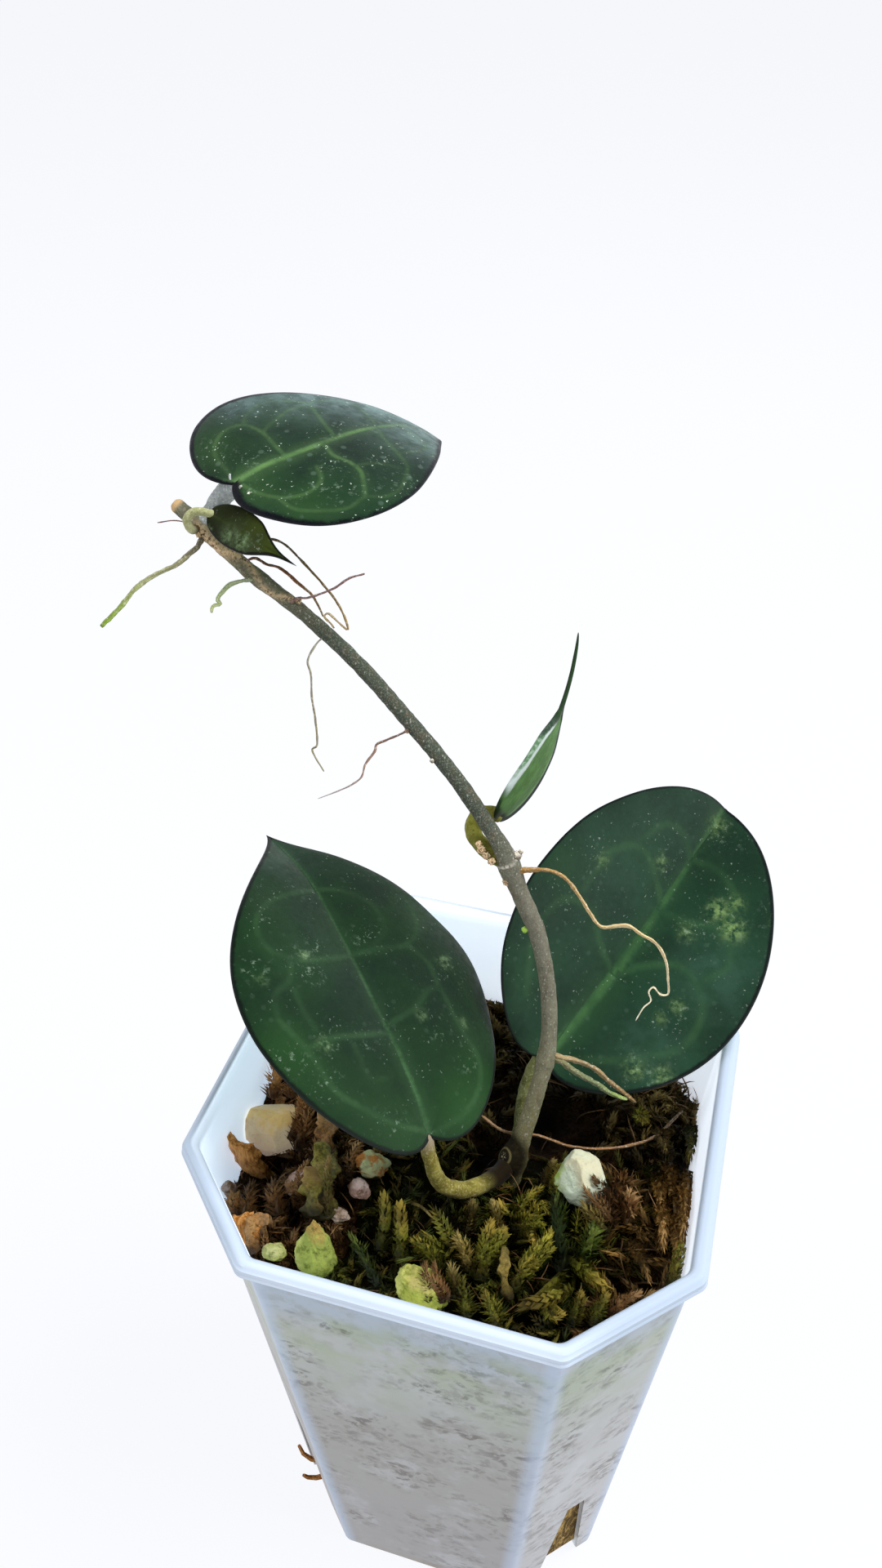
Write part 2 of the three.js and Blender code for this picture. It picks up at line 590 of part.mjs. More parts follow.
// A place on the blade's flat outline, x along the midrib and y to its left, bent into its real shape
function bladePoint(leaf, axes, x, y) {
  const half = leaf.width / 2;
  const cup = radians(leaf.cup) || 1e-4;
  const fold = radians(leaf.fold);
  const droop = radians(leaf.droop) || 1e-4;
  const away = Math.abs(y);
  const outCupped = half / cup * Math.sin(cup * away / half);
  const downCupped = half / cup * (1 - Math.cos(cup * away / half));
  const out = outCupped * Math.cos(fold) + downCupped * Math.sin(fold);
  const raised = outCupped * Math.sin(fold) - downCupped * Math.cos(fold);
  const sideways = Math.sign(y) * out + leaf.bow * 4 * (x / leaf.length) * (1 - x / leaf.length);
  const turn = droop * x / leaf.length;
  const radius = leaf.length / droop;
  return new THREE.Vector3(...leaf.base)
    .addScaledVector(axes.along, radius * Math.sin(turn) + raised * Math.sin(turn))
    .addScaledVector(axes.up, raised * Math.cos(turn) - radius * (1 - Math.cos(turn)))
    .addScaledVector(axes.left, sideways);
}

// The outline of the flat blade at an angle from 0 at the base to pi at the tip: x and the half-width there
function bladeOutline(leaf, angle) {
  const share = (1 - Math.cos(angle)) / 2;
  const narrowing = Math.max(1 - leaf.taper * share ** leaf.taperPower, leaf.tipWidth);
  const notchShare = angle / NOTCH_ANGLE;
  const x = leaf.length * share - leaf.notch * notchShare * Math.exp(1 - notchShare);
  return { x, width: Math.sin(angle) * narrowing };
}

// A closed blade: two like grids of triangles, one for each face, that meet along the margin
function blade(leaf) {
  const axes = bladeAxes(leaf);
  const angles = Array.from({ length: BLADE_ROWS + 1 }, (_, i) => Math.PI * i / BLADE_ROWS);
  const widest = Math.max(...angles.map((angle) => bladeOutline(leaf, angle).width));
  const step = 0.05;
  const faces = [1, -1].map((face) => angles.map((angle, row) => {
    const edge = bladeOutline(leaf, angle);
    const midX = leaf.length * (row / BLADE_ROWS) ** ROW_SPACING_POWER;
    return Array.from({ length: BLADE_COLUMNS + 1 }, (_, column) => {
      const across = 2 * column / BLADE_COLUMNS - 1;
      const share = Math.abs(across);
      const side = 1 + Math.sign(across) * leaf.lean;
      const x = THREE.MathUtils.lerp(midX, edge.x, share ** ROW_SWEEP_POWER);
      const y = across * side * leaf.width / 2 * edge.width / widest;
      const alongFace = bladePoint(leaf, axes, x + step, y).sub(bladePoint(leaf, axes, x - step, y));
      const acrossFace = bladePoint(leaf, axes, x, y + step).sub(bladePoint(leaf, axes, x, y - step));
      const normal = alongFace.cross(acrossFace).normalize();
      const thickness = THREE.MathUtils.lerp(BLADE_MID_THICKNESS, BLADE_EDGE_THICKNESS, share);
      const atPole = row === 0 || row === BLADE_ROWS;
      if (atPole) return bladePoint(leaf, axes, midX, 0).toArray();
      return bladePoint(leaf, axes, x, y).addScaledVector(normal, face * thickness / 2).toArray();
    });
  }));
  const columns = BLADE_COLUMNS + 1;
  const place = (face, row, column) => (face * (BLADE_ROWS + 1) + row) * columns + column;
  const index = [];
  for (let row = 0; row < BLADE_ROWS; row++) {
    for (let column = 0; column < BLADE_COLUMNS; column++) {
      const corners = [[row, column], [row + 1, column], [row + 1, column + 1], [row, column + 1]];
      const [a, b, c, d] = corners.map(([r, k]) => place(0, r, k));
      const [e, f, g, h] = corners.map(([r, k]) => place(1, r, k));
      index.push(a, b, c, a, c, d, e, g, f, e, h, g);
    }
    for (const [column, flip] of [[0, true], [BLADE_COLUMNS, false]]) {
      const [a, b] = [place(0, row, column), place(0, row + 1, column)];
      const [c, d] = [place(1, row + 1, column), place(1, row, column)];
      index.push(...(flip ? [a, c, b, a, d, c] : [a, b, c, a, c, d]));
    }
  }
  const geometry = new THREE.BufferGeometry();
  geometry.setAttribute('position', new THREE.BufferAttribute(new Float32Array(faces.flat(3)), 3));
  geometry.setIndex(index);
  const solid = solidFrom(geometry);
  return solid.volume() < 0 ? turnedInsideOut(geometry) : solid;
}

// The same skin with every triangle's corners in the other order
function turnedInsideOut(geometry) {
  const corners = geometry.getIndex().array;
  for (let i = 0; i < corners.length; i += 3) [corners[i], corners[i + 1]] = [corners[i + 1], corners[i]];
  return solidFrom(geometry);
}

// A leaf: its blade and its stalk in one, cut off just outside the vine
function leaf(name, spec, fatStem) {
  const radiusAt = (t) => spec.stalkRadius * (1 - STALK_THINNING * t);
  const stalk = tube(spec.stalk, radiusAt, STALK_SIDES, STALK_STEPS);
  return meshFrom(name, blade(spec).add(stalk).subtract(fatStem), spec.colour, 0.45);
}

// An aerial root, cut off just outside the vine
function root(name, spec, fatStem) {
  const [thick, thin] = spec.radii;
  const steps = (spec.points.length - 1) * ROOT_STEPS_PER_POINT;
  const solid = tube(spec.points, (t) => THREE.MathUtils.lerp(thick, thin, t), ROOT_SIDES, steps);
  return meshFrom(name, solid.subtract(fatStem), spec.colour, 0.6);
}

function creepingRoot(clearance = 0) {
  const points = CREEPING_ROOT.map(([x, y]) => [x, y, mossHeight(x, y) + CREEPING_ROOT_HEIGHT]);
  return tube(points, () => CREEPING_ROOT_RADIUS + clearance, ROOT_SIDES, CREEPING_ROOT_STEPS);
}

const plant = new THREE.Group();
const random = randomNumbers(SEED);
const stem = stemWithJoints();
const buriedEnd = ball(STEM_POINTS[0], STEM_BASE_RADIUS + 2 * GAP);
const fatStem = stemWithJoints(GAP).add(buriedEnd);
plant.add(pot());

// What the moss keeps clear of: the vine, the two low stalks, the lumps, the flakes and the creeping root
const stalkRooms = [LEAVES.leaf_lower_left, LEAVES.leaf_lower_right].map(
  (spec) => tube(spec.stalk, () => spec.stalkRadius + GAP, STALK_SIDES, STALK_STEPS));
const lumpRooms = Object.values(LUMPS).map((spec) => lump(spec, GAP));
const flakeRooms = Object.values(FLAKES).map((spec) => flake(spec, GAP));
const obstacles = [fatStem, ...stalkRooms, ...lumpRooms, ...flakeRooms, creepingRoot(GAP)];
plant.add(mossBed(obstacles));

for (const [name, mat] of Object.entries(MATS)) plant.add(mossMat(name, mat, random, obstacles));

const mouth = insidePot(MAT_FLOOR, POT_HEIGHT);
for (const [name, spec] of Object.entries(LUMPS)) {
  plant.add(meshFrom(name, lump(spec).intersect(mouth), spec.colour, 0.9));
}
for (const [name, spec] of Object.entries(FLAKES)) {
  plant.add(meshFrom(name, flake(spec).intersect(mouth), spec.colour, 0.8));
}

plant.add(meshFrom('vine_stem', stem, 0x6f6f55, 0.65));
for (const [name, spec] of Object.entries(LEAVES)) plant.add(leaf(name, spec, fatStem));
for (const [name, spec] of Object.entries(ROOTS)) plant.add(root(name, spec, fatStem));
plant.add(meshFrom('creeping_root', creepingRoot().subtract(fatStem), 0x7a5636, 0.7));

export default plant;
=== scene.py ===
# The looks of a black margin hoya in its pot: waxy veined leaves with a dark margin, a speckled vine with
# dry roots, leafy moss with lumps of pumice in it, and a square translucent pot, stained by the moss inside.
# Sizes and places are in millimetres, in the part's frame, and become metres when a piece is finished.
import math
import random

import bmesh
import bpy
import numpy as np
from mathutils import Matrix, Vector, noise


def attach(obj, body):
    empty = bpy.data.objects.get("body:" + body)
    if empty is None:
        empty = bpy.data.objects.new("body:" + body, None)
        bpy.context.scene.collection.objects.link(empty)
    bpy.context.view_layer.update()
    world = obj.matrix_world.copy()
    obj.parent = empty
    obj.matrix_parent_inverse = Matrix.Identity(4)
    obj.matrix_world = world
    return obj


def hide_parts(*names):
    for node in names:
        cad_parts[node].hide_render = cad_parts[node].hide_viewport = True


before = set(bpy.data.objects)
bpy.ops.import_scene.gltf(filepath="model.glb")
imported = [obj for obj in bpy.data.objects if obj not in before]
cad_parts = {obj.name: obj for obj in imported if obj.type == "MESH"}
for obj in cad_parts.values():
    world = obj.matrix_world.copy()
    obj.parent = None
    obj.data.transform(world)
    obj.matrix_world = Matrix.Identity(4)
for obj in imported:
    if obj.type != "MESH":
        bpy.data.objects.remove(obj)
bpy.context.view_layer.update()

MM = 0.001
SEED = 20

# Camera: the photograph's viewpoint, in degrees and millimetres
CAMERA_PLACE = (34.75, -136.1, 304.5)
CAMERA_AZIMUTH = 16.55
CAMERA_ELEVATION = 37.97
CAMERA_ROLL = -0.25
CAMERA_LENS = 28.2
SENSOR = 36.0

# Studio, in metres: where each light stands, where it points, its size, power and colour
LIGHTS = {
    "window": ((0.6, 0.15, 1.1), (0, 0, 0.12), 0.7, 19, "fbfcff"),
    "fill": ((-0.7, -0.4, 1.0), (0, 0, 0.1), 0.8, 6, "ffffff"),
}
SKY_COLOURS = ((0.15, "f6f9ff"), (0.75, "5a6068"))
SKY_STRENGTH = 0.85
TABLE_HALF_WIDTH = 20
TABLE_GLOW = 0.94

# Pot
POT_HEIGHT = 127.0
BASE_HALF_WIDTH = 33.6
BASE_CORNER_CUT = 15.2
TOP_HALF_WIDTH = 42.9
TOP_CORNER_CUT = 17.5
LIP_OVERHANG = 2.1
LIP_HEIGHT = 2.8
WALL = 1.2
FLOOR = 1.6
CORNER_RADIUS = 2.2
SLOT_HEIGHT = 36.0
SLOT_BOTTOM_WIDTH = 10.0
SLOT_TOP_WIDTH = 4.0
SLOT_OFFSET = 2.5
SMOOTH_UNDER = 28
GAP = 0.3
TOUCH = 0.05

# Moss: how far its surface lies below the rim at a few places, as x, y and drop
MOSS_DROPS = [
    (0, -42, 6.5), (-27, -42, 8), (27, -42, 8.5), (42, -24, 7.5), (42, 5, 16), (42, 27, 20), (0, 42, 20.5),
    (-42, 27, 17), (-42, 5, 13), (-40, -20, 18), (9, -6, 12.5), (8, 12, 17), (-10, -20, 9.5),
]

DROP_BLUR = 30
GROUND_BELOW = 2.6
GROUND_ROUGHNESS = 1.7
HOLLOW_DEPTH = 2.6
GROUND_CELL = 0.7
GROUND_THICKNESS = 4
ROOTED = 1.5
BED_CLEARANCE = 0.1

# The three mats of moss meet at these lines and reach under the wall
MAT_LEFT = -14
MAT_RIGHT = 27
MAT_BACK = -1
MAT_REACH = 42

# Hollows of the moss that lie in deep shade: x, y and reach
HOLLOWS = [
    (11, 9, 12), (20.6, 7, 7), (3, -2, 7), (30, 5, 4), (26.7, -10.3, 3), (21.3, -26.4, 3), (18.8, -34.7, 3),
    (31.5, -23.9, 3.2), (33, -0.5, 3.4), (9.2, -34.5, 2.6), (-33.5, -13.8, 3.4), (-22.7, -29.3, 3.2),
    (-12, -27, 4), (-7.3, -33, 3.2), (-4.5, -24.4, 2.5), (37, 9.7, 6), (-3, -12, 6), (-8, -16, 4),
    (-1, -20, 3), (-18, -23, 2.5), (13.5, -20.5, 2.4), (6.5, -20, 2.6), (14, -25, 2.2), (24, -30.5, 2.4),
    (35.5, -22, 3), (-17, -38, 3), (-33, -22, 3), (-20, -31, 3), (30.5, -17, 3),
]

# Stains on the pot: place on its wall, and reach along the wall and up it
STAINS = [
    ((-21, -40.6, 91), 6, 15), ((8, -39.6, 81), 8, 8), ((19, -39.7, 79), 7, 10), ((-4, -37.5, 53), 9, 9),
    ((3, -42, 112.5), 5, 3), ((-12, -42, 111), 4, 3), ((20, -37, 48), 6, 6), ((33, -33, 104), 6, 6),
    ((27, -36, 84), 4, 16), ((-10, -39, 74), 8, 5), ((24, -34, 62), 4, 6), ((30.5, -27.8, 39), 2.5, 4),
    ((7, -41, 97), 8, 5), ((-14, -35, 20), 5, 5),
]

# Vine: points along its middle from the buried end up to the cut tip, and its radius at some heights
STEM_POINTS = [
    (10, -7, 98), (9.5, -6.5, 108), (9, -6, 114.5), (10, -3.5, 119), (11, -0.4, 124.3), (11.7, 2.4, 129.1),
    (12.1, 4.8, 133), (11.8, 7.2, 139), (11.2, 8.5, 143.1), (10.4, 9.4, 147.5), (8, 11.3, 155.7),
    (6.2, 11.7, 160), (4.8, 11.9, 163), (2.5, 12.5, 168.3), (1.3, 13.2, 170.8), (-2, 14.5, 175),
    (-8, 16, 182.5), (-17, 17.5, 192), (-25.5, 19, 200), (-34, 19.5, 207), (-43.5, 20, 213.5),
    (-50.5, 21, 219), (-55, 21.5, 222),
]
STEM_RADII = [
    (98, 1.75), (115, 1.75), (126, 1.5), (138, 1.42), (148, 1.38), (158, 1.5), (167, 1.52), (174, 1.32),
    (190, 1.27), (203, 1.2), (222, 1.15),
]
STEM_FOOT = (9.3, -6)
STEM_CLEARANCE = 2.6
STEM_SIDES = 26
STEM_RINGS = 430

# Swellings of the vine: place, how much thicker, and how far along the vine the swelling reaches
JOINTS = [
    ((9.2, -5.6, 115.5), 0.95, 2.8), ((12.1, 4.6, 132.5), 0.3, 2.0), ((2.3, 12.8, 168.8), 0.5, 2.6),
    ((-50.5, 21, 219), 0.3, 2.4), ((-41.5, 20, 212), 0.15, 2.5),
]

# Crusty scars on the vine, as points along each, with the half-width of the crust
SCARS = [
    (
        [
            (-51.7, 18.9, 219.1), (-50.3, 19.2, 218.9), (-49, 19.4, 217.9), (-47.7, 19.2, 216.9),
            (-46.3, 19.3, 216.2), (-44.6, 19.7, 215.8),
        ],
        1.1,
    ),
    (
        [
            (-44.6, 19.7, 215.8), (-42.8, 19.7, 214.7), (-41.8, 19.4, 213.7), (-40.8, 18.8, 212.3),
            (-39.6, 18.4, 210.9), (-37.9, 18.4, 210), (-36.3, 18.9, 209.8), (-34.6, 19.5, 209.5),
        ],
        0.45,
    ),
    ([(-2.6, 11.6, 172.2), (-2.1, 11.2, 171.1), (-0.6, 10.9, 170)], 0.9),
]
RING_SCAR = (7.8, -6.5, 117.3)

# The pale ring that a fallen leaf left, its half-width, and how far from its place it is looked for
LEAF_RING = (2.1, 11.8, 169.7)
LEAF_RING_WIDTH = 0.16
LEAF_RING_REACH = 4.5

# Small knobs on the vine: place, radius, and whether they are crusty, pale or a green bud
KNOBS = [
    ((3.4, 13.2, 170.9), 0.75, "pale"), ((3.9, 13.4, 171.6), 0.4, "pale"),
    ((2.2, 11.1, 166.6), 0.6, "crust"), ((5.9, 10.4, 157.1), 0.5, "bud"),
    ((-11.7, 15.2, 185.7), 0.36, "pale"), ((-16.2, 16.3, 190), 0.4, "crust"),
    ((-2.4, 12, 171.6), 0.6, "crust"), ((-1.5, 11.9, 170.7), 0.55, "crust"),
    ((-0.5, 11.6, 170), 0.55, "crust"), ((-3, 12.5, 172.4), 0.45, "crust"),
    ((-51.6, 19.4, 219.2), 0.45, "crust"), ((-50.2, 19.2, 218.4), 0.4, "crust"),
    ((-34.5, 19.2, 209.2), 0.4, "crust"),
]

# Leaves: the blade springs from base, points along azimuth and elevation and is rolled about its midrib.
# Veins are lists of places on the blade: shares of its length, and of its half-width to the left.
LEAVES = {
    "leaf_lower_left": dict(
        base=(-3.5, -15, 129.5), azimuth=127, elevation=37, roll=25, length=66.5, width=50.5, taper=0.97,
        taper_power=3.6, lean=0, notch=2.5, bow=2, hook=2.2, droop=38, cup=27, fold=13.5, tip_width=0,
        stalk=[
            (9.2, -5.6, 115.5), (6.5, -10.5, 115.4), (2.5, -14.5, 116.2), (-1, -16.8, 120),
            (-2.8, -16.6, 125), (-4.5, -14.5, 129.8),
        ],
        stalk_radius=1.75, stalk_taper=0.68, margins=(0.8, 0.6), side_veins=0.8,
        veins=[
            (1.0, [(0, 0), (0.2, -0.01), (0.4, 0.01), (0.6, 0), (0.8, -0.02), (0.97, 0)]),
            (0.5, [(0.02, 0.04), (0.06, 0.28), (0.12, 0.48), (0.18, 0.62), (0.28, 0.68), (0.38, 0.79)]),
            (0.45, [(0.28, 0), (0.29, 0.27), (0.3, 0.5), (0.29, 0.67)]),
            (
                0.4,
                [
                    (0.51, 0), (0.51, 0.25), (0.52, 0.45), (0.57, 0.63), (0.65, 0.63), (0.71, 0.45),
                    (0.74, 0),
                ],
            ),
            (0.3, [(0.52, 0.52), (0.47, 0.6), (0.44, 0.74), (0.38, 0.79)]),
            (
                0.5,
                [
                    (0.01, -0.06), (0.03, -0.3), (0.08, -0.5), (0.15, -0.6), (0.24, -0.57), (0.36, -0.55),
                    (0.44, -0.55), (0.49, -0.47),
                ],
            ),
            (0.38, [(0.51, 0), (0.51, -0.2), (0.5, -0.45), (0.54, -0.62), (0.62, -0.7)]),
            (0.3, [(0.74, -0.02), (0.71, -0.2), (0.64, -0.37), (0.56, -0.35), (0.52, -0.2)]),
            (0.25, [(0.27, 0.34), (0.18, 0.32), (0.17, 0.2)]),
            (0.25, [(0.44, 0.6), (0.39, 0.6), (0.33, 0.57)]),
            (0.3, [(0.3, -0.01), (0.32, -0.25), (0.36, -0.45), (0.36, -0.55)]),
        ],
        dust=[
            (0.52, 0.41), (0.54, 0.29), (0.48, 0.42), (0.53, 0.79), (0.4, -0.74), (0.26, -0.38),
            (0.16, -0.5), (0.3, 0.54), (0.27, 0.82), (0.2, 0.64), (0.28, 0.22), (0.55, -0.15), (0.06, 0.28),
            (0.9, 0.1),
        ],
        vein_widths=(0.5, 0.55),
        splash=[
            (0.29, 0.55, 1.0, 0.5), (0.53, 0.4, 1.0, 0.45), (0.49, 0.78, 0.9, 0.3), (0.3, -0.3, 0.9, 0.45),
            (0.43, -0.7, 1.3, 0.45), (0.25, -0.62, 0.9, 0.4),
        ],
        bloom_and_sheen=[(0.92, 0.2, 8, 0.6), (0.55, 0.3, 9, 0.2), (0.42, -0.2, 8, 0.12)],
        glow=[(0.05, -0.35, 7, 0.8), (0.15, -0.55, 6, 0.5), (0.3, 0.85, 6, 0.7), (0.02, 0.2, 6, 0.35)],
    ),
    "leaf_lower_right": dict(
        base=(10.7, 10.3, 125.6), azimuth=64.5, elevation=23, roll=34.5, length=62, width=52, taper=0.26,
        taper_power=1.3, lean=0.015, notch=2.5, bow=0, hook=0, droop=0, cup=-5, fold=21, tip_width=0,
        stalk=[
            (9.2, -5.6, 115.5), (9.5, -1.5, 116.5), (8.8, 4, 118.5), (8.8, 8, 121.5), (10.5, 11.5, 126.4),
        ],
        stalk_radius=1.7, stalk_taper=0.8, margins=(0.45, 0.8), side_veins=0.9,
        veins=[
            (1.0, [(0, 0), (0.2, -0.04), (0.45, -0.05), (0.7, -0.02), (0.9, 0.03), (0.98, 0.03)]),
            (
                0.35,
                [
                    (0.33, -0.06), (0.41, -0.2), (0.47, -0.44), (0.4, -0.7), (0.27, -0.74), (0.15, -0.5),
                    (0.05, -0.2),
                ],
            ),
            (0.3, [(0.33, -0.05), (0.37, 0.2), (0.42, 0.45), (0.38, 0.68), (0.25, 0.7), (0.1, 0.45)]),
            (0.3, [(0.58, -0.04), (0.6, -0.25), (0.64, -0.5), (0.56, -0.68), (0.47, -0.6)]),
            (0.3, [(0.6, -0.03), (0.66, 0.2), (0.68, 0.42), (0.6, 0.6), (0.45, 0.6)]),
            (0.25, [(0.78, 0), (0.8, -0.2), (0.76, -0.42), (0.66, -0.52)]),
            (0.25, [(0.78, 0), (0.82, 0.18), (0.8, 0.36), (0.7, 0.46)]),
        ],
        dust=[
            (0.69, -0.38), (0.68, -0.55), (0.58, -0.27), (0.71, 0.16), (0.76, -0.72), (0.92, -0.07),
            (0.53, 0.63), (0.37, 0.62), (0.13, -0.54), (0.14, -0.72), (0.35, -0.57), (0.6, -0.4),
        ],
        vein_widths=(0.9, 0.75),
        splash=[
            (0.69, -0.4, 1.8, 0.75), (0.66, -0.56, 1.9, 0.8), (0.74, -0.47, 1.4, 0.5),
            (0.77, -0.82, 1.6, 0.55), (0.57, -0.3, 1.5, 0.3), (0.93, 0.0, 2.0, 0.3), (0.7, 0.2, 1.4, 0.35),
            (0.13, -0.56, 1.6, 0.45), (0.16, -0.74, 1.7, 0.4), (0.36, -0.55, 1.2, 0.4),
            (0.3, -0.5, 1.0, 0.3), (0.56, 0.62, 1.3, 0.3),
        ],
        bloom_and_sheen=[(0.55, 0.45, 9, 0.15), (0.8, 0.3, 8, 0.15), (0.2, -0.55, 8, 0.3), (0.5, -0.65, 8, 0.4)],
        glow=[(0.45, 0.85, 5, 0.5), (0.2, -0.2, 7, 0.15), (0.15, 0.5, 6, 0.2)],
    ),
    "leaf_top": dict(
        base=(-44.8, 21.7, 226.1), azimuth=55, elevation=22, roll=10.5, length=45.5, width=38.4, taper=0.9,
        taper_right=0.86, taper_power=1.3, lean=-0.02, notch=2.5, bow=-1.8, hook=0, droop=59, cup=12,
        fold=2.5, tip_width=0,
        stalk=[(-50.5, 21, 219), (-49.4, 23, 220.5), (-47.8, 24.2, 223), (-44.4, 23.4, 226.4)],
        stalk_radius=1.6, stalk_taper=1.0, margins=(0.65, 1.3), side_veins=0.6,
        veins=[
            (1.0, [(0, 0), (0.1, -0.02), (0.25, -0.06), (0.36, -0.06), (0.5, -0.03), (0.7, 0), (0.9, 0)]),
            (
                0.55,
                [
                    (0.2, 0.0), (0.21, 0.17), (0.22, 0.35), (0.2, 0.54), (0.13, 0.56), (0.05, 0.4),
                    (0.02, 0.1),
                ],
            ),
            (
                0.75,
                [(0.34, -0.07), (0.32, -0.25), (0.34, -0.4), (0.34, -0.53), (0.31, -0.66), (0.27, -0.8)],
            ),
            (0.5, [(0.02, -0.08), (0.03, -0.25), (0.07, -0.42), (0.14, -0.5), (0.21, -0.45), (0.24, -0.3)]),
            (
                0.4,
                [
                    (0.06, -0.42), (0.07, -0.58), (0.13, -0.72), (0.2, -0.82), (0.27, -0.8), (0.33, -0.87),
                    (0.4, -0.84), (0.48, -0.7),
                ],
            ),
            (0.45, [(0.58, -0.05), (0.55, -0.25), (0.53, -0.45), (0.51, -0.62), (0.48, -0.7)]),
            (0.5, [(0.4, -0.01), (0.42, 0.18), (0.45, 0.39), (0.47, 0.56), (0.42, 0.7)]),
            (0.4, [(0.59, -0.02), (0.62, 0.15), (0.64, 0.39), (0.58, 0.55), (0.47, 0.56)]),
            (0.35, [(0.22, 0.35), (0.3, 0.44), (0.38, 0.52), (0.46, 0.54)]),
            (0.3, [(0.34, -0.45), (0.42, -0.5), (0.48, -0.62)]),
            (0.3, [(0.7, 0), (0.73, -0.2), (0.7, -0.38), (0.62, -0.45), (0.53, -0.45)]),
            (0.3, [(0.2, 0.54), (0.26, 0.68), (0.36, 0.76), (0.42, 0.7)]),
        ],
        dust=[
            (0.1, 0.14), (0.42, 0.05), (0.14, -0.5), (0.44, -0.75), (0.0, -0.11), (0.2, -0.62), (0.3, -0.7),
            (0.3, -0.3), (0.45, -0.5), (0.05, 0.45),
        ],
        vein_widths=(0.48, 0.34),
        splash=[
            (0.1, 0.14, 0.5, 0.7), (0.37, 0.14, 0.5, 0.6), (0.14, -0.86, 0.35, 1.3),
            (0.01, -0.08, 0.8, 1.25), (0.01, -0.19, 0.9, 1.25), (0.2, -0.94, 0.3, 1.0),
            (0.4, -0.24, 0.4, 0.8), (0.42, -0.64, 0.35, 0.9),
        ],
        bloom_and_sheen=[
            (0.95, 0.2, 12, 0.9), (0.75, 0.5, 9, 0.85), (0.55, 0.75, 8, 0.7), (0.3, 0.85, 5, 0.4),
            (0.75, -0.2, 8, 0.45),
        ],
        glow=[(0.03, 0.45, 6, 0.55), (0.02, -0.2, 5, 0.6), (0.1, -0.6, 5, 0.5)],
    ),
    "leaf_young_top": dict(
        base=(-47.4, 18.9, 222.3), azimuth=-24.5, elevation=-7.5, roll=46, length=17.4, width=6.4,
        taper=0.9, taper_power=1.6, lean=0.05, notch=0.5, bow=0, hook=0, droop=10, cup=11, fold=4,
        tip_width=0.06, pinch=(0.5, 0.86, 0.6),
        stalk=[
            (-50.5, 21, 219), (-50.8, 18.4, 219.6), (-51, 17.7, 221.6), (-49.6, 18.2, 222.8),
            (-46.8, 18.8, 222.4),
        ],
        stalk_radius=0.68, stalk_taper=0.95, margins=(0.25, 0.4), side_veins=0.7,
        veins=[
            (1.0, [(0, 0), (0.3, 0), (0.6, 0), (0.95, 0)]), (0.4, [(0.15, 0), (0.25, 0.4), (0.4, 0.7)]),
            (0.4, [(0.35, 0), (0.45, 0.35), (0.6, 0.5)]), (0.4, [(0.55, 0), (0.65, 0.2), (0.75, 0.3)]),
            (0.4, [(0.15, 0), (0.25, -0.4), (0.4, -0.7)]), (0.4, [(0.35, 0), (0.45, -0.35), (0.6, -0.5)]),
            (0.4, [(0.55, 0), (0.65, -0.2), (0.75, -0.3)]),
        ],
        dust=[(0.5, -0.45), (0.7, -0.5)], vein_widths=(0.2, 0.16),
        splash=[(0.3, -0.45, 1.2, 0.5), (0.45, -0.4, 1.2, 0.5), (0.08, -0.6, 0.4, 1.0)],
        bloom_and_sheen=[(0.35, -0.45, 2.4, 0.4), (0.55, -0.35, 2, 0.35)],
        glow=[(0.75, 0.2, 3, 0.9), (0.5, 0.8, 2.5, 0.9)],
    ),
    "leaf_middle": dict(
        base=(-1.5, 19.2, 173), azimuth=48.8, elevation=36.5, roll=-64.5, length=35.1, width=18.4,
        taper=0.99, taper_power=0.86, lean=-0.1, notch=0.8, bow=-1.6, hook=0, droop=-39.4, cup=0.01,
        fold=-0.2, tip_width=0.05, pinch=(0.4, 0.66, 0.88),
        stalk=[
            (1.5, 13, 169.3), (-2.4, 14.3, 170.2), (-5.2, 17, 171.2), (-4.8, 19.8, 172.6),
            (-1, 19.8, 173.2),
        ],
        stalk_radius=1.5, stalk_taper=0.85, margins=(2.0, 1.8), side_veins=0.6,
        veins=[
            (1.0, [(0, 0), (0.3, 0), (0.6, 0), (0.95, 0)]), (0.4, [(0.12, 0), (0.2, 0.35), (0.35, 0.5)]),
            (0.4, [(0.12, 0), (0.2, -0.35), (0.35, -0.5)]),
        ],
        dust=[], vein_widths=(0.3, 0.25), splash=[], bloom_and_sheen=[], glow=[],
    ),
}
NOTCH_ANGLE = 0.32
ROW_SPACING_POWER = 1.1
ROW_SWEEP_POWER = 1.5
BLADE_MID_THICKNESS = 1.5
BLADE_EDGE_THICKNESS = 0.9
OUTLINE_STEPS = 400
MARGIN_STEPS = 300
VEIN_STEPS = 80
SLOPE_STEP = 0.05
DUST_RADIUS = 2.4
STALK_SIDES = 24
STALK_RINGS = 60

# What the markings take as out of reach
FAR = 99.0

